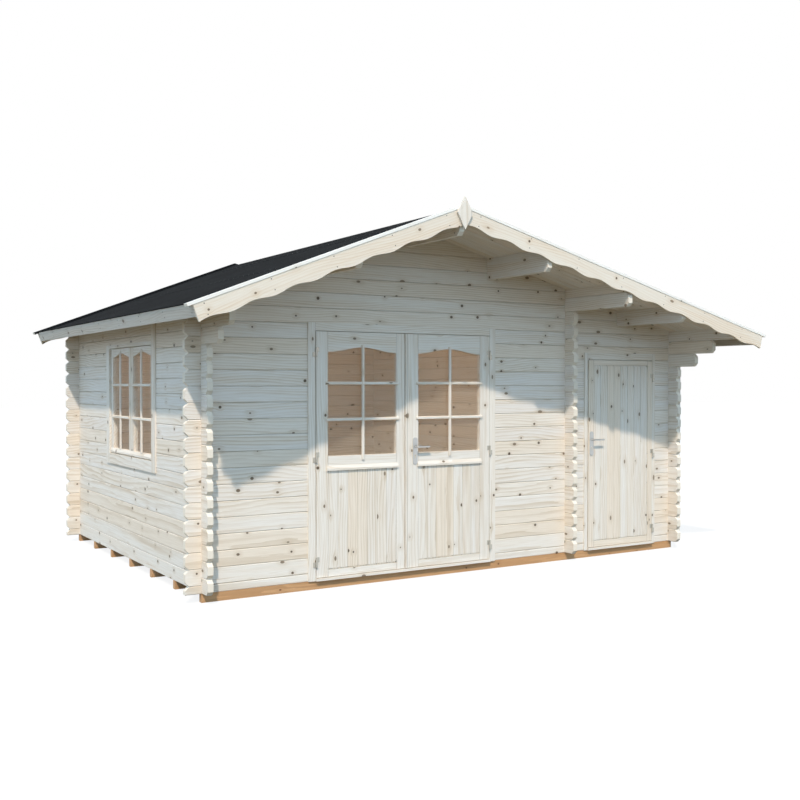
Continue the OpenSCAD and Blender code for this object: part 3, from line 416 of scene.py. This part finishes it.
def on_roof(side, down, up, y):
    """A point on a slope: down from the ridge, and up square to the slope from the boards."""
    pitch = LEFT_PITCH if side < 0 else RIGHT_PITCH
    return (RIDGE_X + side * (down * math.cos(pitch) + up * math.sin(pitch) + RIDGE_GAP), y,
            RIDGE_Z - down * math.sin(pitch) + up * math.cos(pitch))


count = round((ROOF_BACK - ROOF_FRONT) / BOARD)
step = (ROOF_BACK - ROOF_FRONT) / count
roof_wood = softwood("planed spruce, roof boards", "X", "Y", ("Y", ROOF_FRONT, step),
                     sloped=True, **SPRUCE)
section = [(ROOF_GAP, V_JOINT), (V_JOINT, 0), (step - V_JOINT, 0), (step - ROOF_GAP, V_JOINT),
           (step - ROOF_GAP, DECK), (ROOF_GAP, DECK)]
for side, pitch, run, name in SLOPES:
    node = name + "_roof_boards"
    board = loft("v_jointed_" + node, [
        [on_roof(side, -up * math.tan(pitch), up, ROOF_FRONT + y) for y, up in section],
        [on_roof(side, run, up, ROOF_FRONT + y) for y, up in section]])
    lay_out(board, roof_wood, "cabin", count, (0, step, 0), stands_for=(node,))

# Roofing felt: bitumen sheet with a slate grit surface, rolled out along the roof in runs a metre
# wide, each lapped over the one below and nailed, with a capping over the ridge. Slate grit is
# almost black and quite matt, with faint clouds where it lies thinner.
felt, tree, shader = new_material("slate gritted bitumen felt")
place = add(tree, "ShaderNodeTexCoord")
grit = add(tree, "ShaderNodeTexVoronoi", {"Vector": (place, "Object"), "Scale": 1 / 0.004})
cloud = add(tree, "ShaderNodeTexNoise", {
    "Vector": (place, "Object"), "Scale": 1 / 0.35, "Detail": 5.0})
speck = add(tree, "ShaderNodeSeparateColor", {0: (grit, "Color")})
tone = add(tree, "ShaderNodeMath", {0: (speck, "Red"), 1: (cloud, 0)}, operation="MULTIPLY")
shade = add(tree, "ShaderNodeValToRGB", {0: tone})
shade.color_ramp.elements[0].color = linear("#18191B")
shade.color_ramp.elements[1].color = linear("#333638")
tree.links.new(shade.outputs[0], shader.inputs["Base Color"])
shader.inputs["Roughness"].default_value = 0.9
shader.inputs["Specular IOR Level"].default_value = 0.01
felt_bump = add(tree, "ShaderNodeBump", {
    "Strength": 0.5, "Distance": 0.001, "Height": (speck, "Red")})
tree.links.new(felt_bump.outputs[0], shader.inputs["Normal"])
# Galvanised heads are small, grey and dull, with the spangle of their zinc.
galvanised, tree, shader = new_material("galvanised nail heads")
place = add(tree, "ShaderNodeTexCoord")
spangle = add(tree, "ShaderNodeTexVoronoi", {"Vector": (place, "Object"), "Scale": 1 / 0.003})
dull = add(tree, "ShaderNodeMapRange", {
    "Value": (spangle, "Distance"), "To Min": 0.4, "To Max": 0.6})
tree.links.new(dull.outputs[0], shader.inputs["Roughness"])
shader.inputs["Base Color"].default_value = linear("#505355")
shader.inputs["Metallic"].default_value = 1.0


def nail_head(name, place, out, radius=0.004, proud=0.0012):
    """A low domed nail head on a surface that faces out."""
    out = Vector(out).normalized()
    turn = out.to_track_quat("Z", "Y").to_matrix()
    return loft(name, [
        [Vector(place) + turn @ Vector((r * math.cos(a), r * math.sin(a), h))
         for a in (k * math.tau / 10 for k in range(10))]
        for r, h in ((radius, -0.001), (radius, 0.4 * proud), (0.55 * radius, proud))])


FELT, FELT_RUN, FELT_LAP, CAPPING = 0.004, 1.0, 0.08, 0.165
FELT_LOW, FELT_TOP, LAP_TOP = DECK + 0.0001, DECK + FELT, DECK + 1.5 * FELT
HIGHEST_LAP, LAP_EDGE = 0.3, 0.001
FELT_NAIL, FELT_NAIL_STEP, FELT_NAIL_COUNT, FELT_NAIL_IN = 0.0045, 0.1, 43, 0.02
# At the eave the felt climbs the back of the fascia and turns over its top edge: each point is
# past the eave and up from the boards
EAVE_TURN = ((0, 0.0352), (0.0185, 0.0352), (0.0185, 0.0315), (0.0210, 0.0315),
             (0.0210, 0.0377), (-0.004, 0.0377), (-0.014, FELT_TOP))
# At the back gable it is turned up over the strip on the bargeboard: y, and up from the boards
BACK_FOLD = ((1.8125, 0.0232), (1.8125, 0.0463), (1.8738, 0.0463), (1.8738, 0.0300),
             (1.8715, 0.0300), (1.8715, 0.0436), (1.8150, 0.0436), (1.8150, 0.0232))
BACK_FOLD_PAST_EAVE = 0.057
for side, pitch, run, name in SLOPES:
    node = name + "_felt"
    edges = [run - k * FELT_RUN + k * FELT_LAP for k in range(1, 5)
             if run - k * (FELT_RUN - FELT_LAP) > HIGHEST_LAP]
    section = [(-FELT_LOW * math.tan(pitch), FELT_LOW), (run, FELT_LOW)]
    section += [(run + past, up) for past, up in EAVE_TURN]
    for edge in edges:
        section += [(edge, FELT_TOP), (edge - LAP_EDGE, LAP_TOP), (edge - FELT_LAP, LAP_TOP),
                    (edge - 2 * FELT_LAP, FELT_TOP)]
    section += [(CAPPING, FELT_TOP), (CAPPING - LAP_EDGE, LAP_TOP),
                (-LAP_TOP * math.tan(pitch), LAP_TOP)]
    sheet = loft("lapped_" + node, [[on_roof(side, down, up, y) for down, up in section]
                                    for y in (ROOF_FRONT, ROOF_BACK)])
    lay_out(sheet, felt, "cabin", stands_for=(node,))
    cover = loft("back_fold_of_" + node, [
        [on_roof(side, -up * math.tan(pitch), up, y) for y, up in BACK_FOLD],
        [on_roof(side, run + BACK_FOLD_PAST_EAVE, up, y) for y, up in BACK_FOLD]])
    lay_out(cover, felt, "cabin")
    up_way = (side * math.sin(pitch), 0, math.cos(pitch))
    for k, edge in enumerate(edges + [CAPPING]):
        first = on_roof(side, edge - FELT_NAIL_IN, LAP_TOP, ROOF_FRONT + 0.08)
        head = nail_head(f"{node}_nails_{k}", first, up_way, FELT_NAIL)
        lay_out(head, galvanised, "cabin", FELT_NAIL_COUNT, (0, FELT_NAIL_STEP, 0))

# Roof edge: planed spruce fascias along the eaves, sawn bargeboards down the gables, strips that
# cover the edge of the felt, and a diamond where they meet at the front. All are nailed on.
# Fascias are darker and greyer, as painted shade; heartwood is warmer; strips are whiter, as painted
# sunlight.
fascia_wood = softwood("spruce darkened as painted shade, fascias", "Y", "Z", ("X", -3.0, 1.5), **{
    **SPRUCE, "early": "#CBC4BA", "late": "#AFA394", "tints": ("#C9C8C3", "#CECBC5", "#CCC5BA")})
FRONT_OR_BACK = ("Y", -3.0, 0.7)
edge_wood = softwood("planed spruce heartwood, bargeboards", "X", "Z", FRONT_OR_BACK, sloped=True, **{
    **SPRUCE, "early": "#E6D3BC", "late": "#CFB89C", "tints": ("#E5DDD0", "#E8E0D4", "#E4D8C7")})
# Cover strips: spruce tinted almost white, painted sunlight for the sun on their tops.
strip_wood = softwood("planed spruce whitened as painted sunlight, cover strips", "X", "Z", FRONT_OR_BACK, sloped=True, **{
    **SPRUCE, "early": "#F0ECE4", "late": "#DED6C9", "tints": ("#F2F0EC", "#F5F3EF", "#EFEDE9")})
upright_wood = softwood("planed spruce, uprights", "Z", "X", ("X", -3.0, 0.4), **SPRUCE)
dress(fascia_wood, "left_fascia", "right_fascia")
dress(edge_wood, "front_left_bargeboard", "front_right_bargeboard", "back_left_bargeboard",
      "back_right_bargeboard")
dress(strip_wood, "front_cover_strips", "back_cover_strips")
dress(upright_wood, "finial")
EDGE_GAP, EDGE_BOARD = 0.0003, 0.018
FASCIA_NAIL_UP, FASCIA_NAIL_IN, FASCIA_NAIL_COUNT, FASCIA_NAIL_STEP = 0.010, 0.05, 9, 0.534
BARGE_NAIL_DOWN, BARGE_NAIL_UP, BARGE_NAIL_STEP = 0.16, -0.068, 0.5
STRIP_NAIL_DOWN, STRIP_TOP, STRIP_MIDDLE = 0.10, 0.0433, 0.024
for side, pitch, run, name in SLOPES:
    out = (side * math.cos(pitch), 0, -math.sin(pitch))
    first = on_roof(side, run + EDGE_GAP + EDGE_BOARD, FASCIA_NAIL_UP, ROOF_FRONT + FASCIA_NAIL_IN)
    head = nail_head(name + "_fascia_nails", first, out)
    ridge = Vector(on_roof(side, 0, 0, 0))
    away = Vector(on_roof(side, 0, -0.040, 0)) - ridge
    lay_out(head, galvanised, "cabin", FASCIA_NAIL_COUNT, (0, FASCIA_NAIL_STEP, 0),
            2, away)
    slope = Vector(on_roof(side, BARGE_NAIL_STEP, 0, 0)) - ridge
    over = Vector(on_roof(side, 0, 0.075, 0)) - ridge
    barge_nails = int((run - 0.2) / BARGE_NAIL_STEP) + 1
    for end, y, way in (("front", ROOF_FRONT - EDGE_GAP - EDGE_BOARD, -1),
                        ("back", ROOF_BACK + EDGE_GAP + EDGE_BOARD, 1)):
        head = nail_head(f"{end}_{name}_bargeboard_nails",
                         on_roof(side, BARGE_NAIL_DOWN, BARGE_NAIL_UP, y), (0, way, 0))
        lay_out(head, galvanised, "cabin", barge_nails, slope, 2, over)
        head = nail_head(f"{end}_{name}_strip_nails",
                         on_roof(side, STRIP_NAIL_DOWN, STRIP_TOP, y - way * STRIP_MIDDLE),
                         (side * math.sin(pitch), 0, math.cos(pitch)))
        lay_out(head, galvanised, "cabin", barge_nails, slope)

# Door frames: planed spruce jambs grooved over the log ends, with a head between them, stops, and
# a threshold that lies on the bearer. A rail's span is its middle and half its length.
DOUBLE_DOOR_HEAD, STORE_DOOR_HEAD = (-0.640, 0.829), (1.707, 0.407)
frame_wood = softwood("planed spruce, door frames", "Z", "X", ("X", -1.7, 2.4),
                      rails=(DOUBLE_DOOR_HEAD, STORE_DOOR_HEAD), **SPRUCE)
dress(frame_wood, "double_door_frame", "store_door_frame")

# Door leaves: spruce stiles and rails, mortised together, with boarded panels and, in the double
# door, glass under an arched top rail.
LEAF_BY_LEAF = ("X", -1.595, 0.95)
LEFT_RAILS, RIGHT_RAILS, STORE_RAILS = (-1.0545, 0.3095), (-0.2255, 0.3095), (1.708, 0.339)
leaf_wood = softwood("planed spruce, door leaves", "Z", "X", LEAF_BY_LEAF,
                     rails=(LEFT_RAILS, RIGHT_RAILS, STORE_RAILS), **SPRUCE)
dress(leaf_wood, "left_leaf_frame", "right_leaf_frame", "store_leaf_frame")
for panel, boards in (("left_leaf_panel", 7), ("right_leaf_panel", 7), ("store_leaf_panel", 8)):
    low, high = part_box(panel)
    panel_wood = softwood(f"planed spruce, {panel} boards", "Z", "X",
                          ("X", low.x, (high.x - low.x) / boards), **SPRUCE)
    dress(panel_wood, panel)

# Glazing bars and drip mouldings: planed spruce slips on the face of each leaf, the bars crossed
# over the glass and the drip mouldings below it, to throw the rain off the panel.
PANE_HALF = 0.15825
bar_wood = softwood(
    "planed spruce, glazing bars", "Z", "X", LEAF_BY_LEAF,
    rails=tuple((middle, PANE_HALF) for middle in (-1.22575, -0.88325, -0.39675, -0.05425)),
    **SPRUCE)
drip_wood = softwood("planed spruce, drip mouldings", "X", "Z", LEAF_BY_LEAF, **SPRUCE)
dress(bar_wood, "left_leaf_bars", "right_leaf_bars")
dress(drip_wood, "left_leaf_drip", "right_leaf_drip")

# Hinges and handles: lift-off hinges of zinc plated steel, screwed to the leaves and the frames,
# and lever handles on long plates of satin steel on both faces of the leaf.
# Satin steel is brushed upright, so its highlights are soft and drawn out.
steel, tree, shader = new_material("satin steel")
place = add(tree, "ShaderNodeTexCoord")
brush_at = add(tree, "ShaderNodeVectorMath", {0: (place, "Object"), 1: (900, 900, 60)},
               operation="MULTIPLY")
brushed = add(tree, "ShaderNodeTexNoise", {"Vector": brush_at, "Scale": 1.0, "Detail": 2.0})
satin = add(tree, "ShaderNodeMapRange", {"Value": (brushed, 0), "To Min": 0.26, "To Max": 0.44})
tree.links.new(satin.outputs[0], shader.inputs["Roughness"])
shader.inputs["Base Color"].default_value = linear("#C2C5C6")
shader.inputs["Metallic"].default_value = 1.0
dress(steel, "right_leaf_plates", "right_leaf_lever", "store_leaf_plates", "store_leaf_lever")
# Zinc dulls in the air, so the hinges are rougher than the handles, and blotched.
zinc, tree, shader = new_material("zinc plated steel")
place = add(tree, "ShaderNodeTexCoord")
bloom = add(tree, "ShaderNodeTexNoise", {
    "Vector": (place, "Object"), "Scale": 1 / 0.006, "Detail": 4.0})
greyed = add(tree, "ShaderNodeValToRGB", {0: (bloom, 0)})
greyed.color_ramp.elements[0].color = linear("#ABAAA3")
greyed.color_ramp.elements[1].color = linear("#CDCBC3")
tree.links.new(greyed.outputs[0], shader.inputs["Base Color"])
shader.inputs["Metallic"].default_value = 0.8
shader.inputs["Roughness"].default_value = 0.5
dress(zinc, "door_hinge_posts", "left_leaf_hinges", "right_leaf_hinges", "store_leaf_hinges")


def slotted_screw(name, x, y, z, way, radius=0.0036):
    """A raised screw head on a face that looks along way in Y: a rim, and two halves beside
    the slot."""
    shape = bmesh.new()
    gap = math.asin(0.0005 / radius)
    full = [k * math.tau / 12 for k in range(12)]
    halves = [[start + gap + k * (math.pi - 2 * gap) / 6 for k in range(7)]
              for start in (0, math.pi)]
    rim = ((1.0, -0.0010), (1.0, 0.0003))
    dome = ((0.96, 0.0002), (0.94, 0.0007), (0.6, 0.0013))
    for angles, levels in [(full, rim)] + [(half, dome) for half in halves]:
        part = loft(name, [
            [(x + size * radius * math.cos(a), y + way * rise, z + size * radius * math.sin(a))
             for a in angles] for size, rise in levels])
        shape.from_mesh(part)
        bpy.data.meshes.remove(part)
    mesh = bpy.data.meshes.new(name)
    shape.to_mesh(mesh)
    shape.free()
    return mesh


HINGE_FACE, HINGE_LOW = -1.7433, 0.211
HINGE_SCREW_OUT, HINGE_SCREW_STEP = 0.017, (0, 0, 0.017)
LEAF_SCREW_UP, POST_SCREW_DOWN = 0.011, 0.028
for name, axis, side, apart in (("left_leaf", -1.4665, 1, 0.808), ("right_leaf", 0.1865, -1, 0.808),
                                ("store_leaf", 2.1115, -1, 0.714)):
    on_leaf = slotted_screw(name + "_hinge_screws", axis + side * HINGE_SCREW_OUT, HINGE_FACE,
                            HINGE_LOW + LEAF_SCREW_UP, -1)
    lay_out(on_leaf, zinc, name, 3, (0, 0, apart), 2, HINGE_SCREW_STEP)
    on_post = slotted_screw(name + "_post_screws", axis - side * HINGE_SCREW_OUT, HINGE_FACE,
                            HINGE_LOW - POST_SCREW_DOWN, -1)
    lay_out(on_post, zinc, "cabin", 3, (0, 0, apart), 2, HINGE_SCREW_STEP)

# Locks: each handle plate has two screws and the round-topped end of a lock cylinder of nickel
# plated brass, which runs through the leaf and has a keyway on both sides.
# Nickel over brass is smooth and faintly yellow, brighter than the plate round it.
nickel, tree, shader = new_material("nickel plated brass")
place = add(tree, "ShaderNodeTexCoord")
haze = add(tree, "ShaderNodeTexNoise", {
    "Vector": (place, "Object"), "Scale": 1 / 0.002, "Detail": 2.0})
film = add(tree, "ShaderNodeMapRange", {"Value": (haze, 0), "To Min": 0.2, "To Max": 0.36})
tree.links.new(film.outputs[0], shader.inputs["Roughness"])
shader.inputs["Base Color"].default_value = linear("#CFCBC0")
shader.inputs["Metallic"].default_value = 1.0
# A keyway is drawn as painted shade: the dark inside the lock, mottled with a little dust.
keyway, tree, shader = new_material("keyway, painted shade of the slot")
place = add(tree, "ShaderNodeTexCoord")
dust = add(tree, "ShaderNodeTexNoise", {
    "Vector": (place, "Object"), "Scale": 1 / 0.001, "Detail": 2.0})
painted_slot_shade = add(tree, "ShaderNodeValToRGB", {0: (dust, 0)})
painted_slot_shade.color_ramp.elements[0].color = linear("#0B0B0B")
painted_slot_shade.color_ramp.elements[1].color = linear("#24211D")
tree.links.new(painted_slot_shade.outputs[0], shader.inputs["Base Color"])
shader.inputs["Roughness"].default_value = 0.85
PLATE_FRONT, PLATE_BACK, LEVER_Z = -1.7463, -1.6937, 1.073
LOCK_HEAD, LOCK_FOOT, LOCK_REACH, LOCK_DROP = 0.0085, 0.005, 0.0195, 0.072
LOCK_PROUD, LOCK_CHAMFER, KEYWAY_PROUD = 0.0022, 0.0016, 0.0023
KEYWAY_HALF, KEYWAY_REACH = 0.0010, 0.004
PLATE_DROP, SCREW_REACH = 0.034, 0.092
head = [math.radians(-54 + 12 * k) for k in range(25)]
foot = [math.radians(180 + 20 * k) for k in range(10)]
lock_outline = [(LOCK_HEAD * math.cos(a), LOCK_HEAD * math.sin(a)) for a in head] + [
    (LOCK_FOOT * math.cos(a), LOCK_FOOT * math.sin(a) - LOCK_REACH) for a in foot]
slot_outline = [(KEYWAY_HALF * math.cos(a),
                 KEYWAY_HALF * math.sin(a) + math.copysign(KEYWAY_REACH, math.sin(a)))
                for a in (math.radians(15 + 30 * k) for k in range(12))]
for body, x in (("right_leaf", -0.567), ("store_leaf", 1.342)):
    lock_z = LEVER_Z - LOCK_DROP
    barrel = loft(body + "_lock_cylinder", [
        [(x + size * dx, y, lock_z + size * dz) for dx, dz in lock_outline]
        for size, y in ((0.94, PLATE_FRONT - LOCK_PROUD), (1, PLATE_FRONT - LOCK_CHAMFER),
                        (1, PLATE_BACK + LOCK_CHAMFER), (0.94, PLATE_BACK + LOCK_PROUD))])
    lay_out(barrel, nickel, body)
    # The keyway is a thin dark sheet just proud of the cylinder: painted shade of the slot.
    slit = loft(body + "_keyways", [
        [(x + dx, y, lock_z + dz) for dx, dz in slot_outline]
        for y in (PLATE_FRONT - KEYWAY_PROUD, PLATE_BACK + KEYWAY_PROUD)])
    lay_out(slit, keyway, body)
    for face, y, way in (("front", PLATE_FRONT, -1), ("back", PLATE_BACK, 1)):
        screw = slotted_screw(f"{body}_{face}_plate_screws", x, y,
                              LEVER_Z - PLATE_DROP - SCREW_REACH, way)
        lay_out(screw, steel, body, 2, (0, 0, 2 * SCREW_REACH))

# Window: a spruce frame grooved over the cut logs, with two casements, their glazing bars and
# drip mouldings, and an apron below.
CASEMENT_BY_CASEMENT = ("Y", -0.83, 0.80)
WINDOW_RAILS, CASEMENT_HALF, WINDOW_PANE_HALF = (-0.030, 0.600), 0.237, 0.122
window_wood = softwood("planed spruce, window frame", "Z", "Y", ("Y", -1.2, 2.0),
                       rails=(WINDOW_RAILS,), **SPRUCE)
casement_wood = softwood(
    "planed spruce, casements", "Z", "Y", CASEMENT_BY_CASEMENT,
    rails=tuple((middle, CASEMENT_HALF) for middle in (0.269, -0.329)), **SPRUCE)
window_bar_wood = softwood(
    "planed spruce, window bars", "Z", "Y", CASEMENT_BY_CASEMENT,
    rails=tuple((middle, WINDOW_PANE_HALF) for middle in (0.404, 0.134, -0.194, -0.464)), **SPRUCE)
window_drip_wood = softwood("planed spruce, window drip mouldings", "Y", "Z",
                            CASEMENT_BY_CASEMENT, **SPRUCE)
dress(window_wood, "window_frame")
dress(casement_wood, "window_casements")
dress(window_bar_wood, "window_bars")
dress(window_drip_wood, "window_drips")

# Glass: panes of clear float glass with a curved top, cut to fit inside the openings of the leaves
# and casements. They show mostly what lies behind, with sharp reflections, under a faint warm veil:
# painted light that lightens and warms the panes like the lit room behind them.
glass, tree, shader = new_material("float glass")
shader.inputs["Base Color"].default_value = linear("#DCCDB8")
shader.inputs["Roughness"].default_value = 0.02
shader.inputs["IOR"].default_value = 1.5
shader.inputs["Alpha"].default_value = 0.13
dress(glass, "left_leaf_glass", "right_leaf_glass", "window_glass")

# Studio floor: a plain sheet of white paper. It is white where the camera, a mirror or the glass
# sees it, keeps a part of the cabin's shadow, and throws back less light than white paper would.


def seen_directly(tree):
    """One for rays from the camera, a mirror or the glass, and nought for all others."""
    path = add(tree, "ShaderNodeLightPath")
    direct = add(tree, "ShaderNodeMath", {0: (path, "Is Camera Ray"), 1: (path, "Is Glossy Ray")},
                 operation="MAXIMUM")
    return add(tree, "ShaderNodeMath", {0: direct, 1: (path, "Is Transmission Ray")},
               operation="MAXIMUM")


WHITE = (1, 1, 1, 1)
FLOOR_HALF, FLOOR_GLOW = 60.0, 0.85
stage_mesh = bpy.data.meshes.new("studio_floor")
stage_mesh.from_pydata(
    [(-FLOOR_HALF, -FLOOR_HALF, 0), (FLOOR_HALF, -FLOOR_HALF, 0), (FLOOR_HALF, FLOOR_HALF, 0),
     (-FLOOR_HALF, FLOOR_HALF, 0)], [], [(0, 1, 2, 3)])
stage_floor = bpy.data.objects.new("studio_floor", stage_mesh)
bpy.context.scene.collection.objects.link(stage_floor)
paper, tree, shader = new_material("white studio paper")
shader.inputs["Roughness"].default_value = 0.9
shader.inputs["Specular IOR Level"].default_value = 0.0
seen = seen_directly(tree)
pale = add(tree, "ShaderNodeMix", {"Factor": seen, 6: linear("#645C48"), 7: WHITE},
           data_type="RGBA")
tree.links.new(pale.outputs[2], shader.inputs["Base Color"])
share = add(tree, "ShaderNodeMath", {0: seen, 1: FLOOR_GLOW}, operation="MULTIPLY")
white = add(tree, "ShaderNodeEmission", {"Color": WHITE, "Strength": 1.0})
blend = add(tree, "ShaderNodeMixShader", {0: share, 1: shader, 2: white})
tree.links.new(blend.outputs[0], tree.nodes["Material Output"].inputs["Surface"])
stage_mesh.materials.append(paper)

# Soft daylight: one broad lamp from the front left, high up, and a slightly blue fill that is
# weaker overhead. A small warm lamp in the main room lets the walls show through the glass.
SUN_WAY = Vector((0.375, 0.5305, -0.7602))
sun = bpy.data.lights.new("key_light", "SUN")
sun.energy = 3.15
sun.angle = math.radians(1.5)
sun.color = linear("#FFF1E1")[:3]
key_light = bpy.data.objects.new("key_light", sun)
key_light.rotation_euler = SUN_WAY.to_track_quat("-Z", "Y").to_euler()
bpy.context.scene.collection.objects.link(key_light)
room = bpy.data.lights.new("room_light", "POINT")
room.energy = 19
room.shadow_soft_size = 0.4
room.color = linear("#FFDDBA")[:3]
room_light = bpy.data.objects.new("room_light", room)
room_light.location = (-0.65, -0.2, 2.1)
room_light.visible_camera = False
bpy.context.scene.collection.objects.link(room_light)
FILL_LEVEL, FILL_OVERHEAD = 1.84, 0.5
world = bpy.data.worlds.new("studio")
world.use_nodes = True
bpy.context.scene.world = world
tree = world.node_tree
white = add(tree, "ShaderNodeBackground", {"Color": WHITE, "Strength": 1.0})
fill = tree.nodes["Background"]
fill.inputs["Color"].default_value = linear("#CAE8FF")
place = add(tree, "ShaderNodeTexCoord")
height = add(tree, "ShaderNodeSeparateXYZ", {0: (place, "Generated")})
dome = add(tree, "ShaderNodeMapRange", {
    "Value": (height, "Z"), "To Min": FILL_LEVEL, "To Max": FILL_OVERHEAD})
tree.links.new(dome.outputs[0], fill.inputs["Strength"])
blend = add(tree, "ShaderNodeMixShader", {0: seen_directly(tree), 1: fill, 2: white})
tree.links.new(blend.outputs[0], tree.nodes["World Output"].inputs["Surface"])

# The camera stands where the photograph was taken from: front left, at eye height.
camera = bpy.data.cameras.new("camera")
camera.lens = 45.733
camera.sensor_width = 36
camera.clip_end = 500
eye = bpy.data.objects.new("camera", camera)
eye.location = (-5.0154, -8.7018, 1.5848)
eye.rotation_euler = (math.radians(90 - 0.921), 0, math.radians(-31.731))
bpy.context.scene.collection.objects.link(eye)
bpy.context.scene.camera = eye
bpy.context.scene.view_settings.view_transform = "Standard"
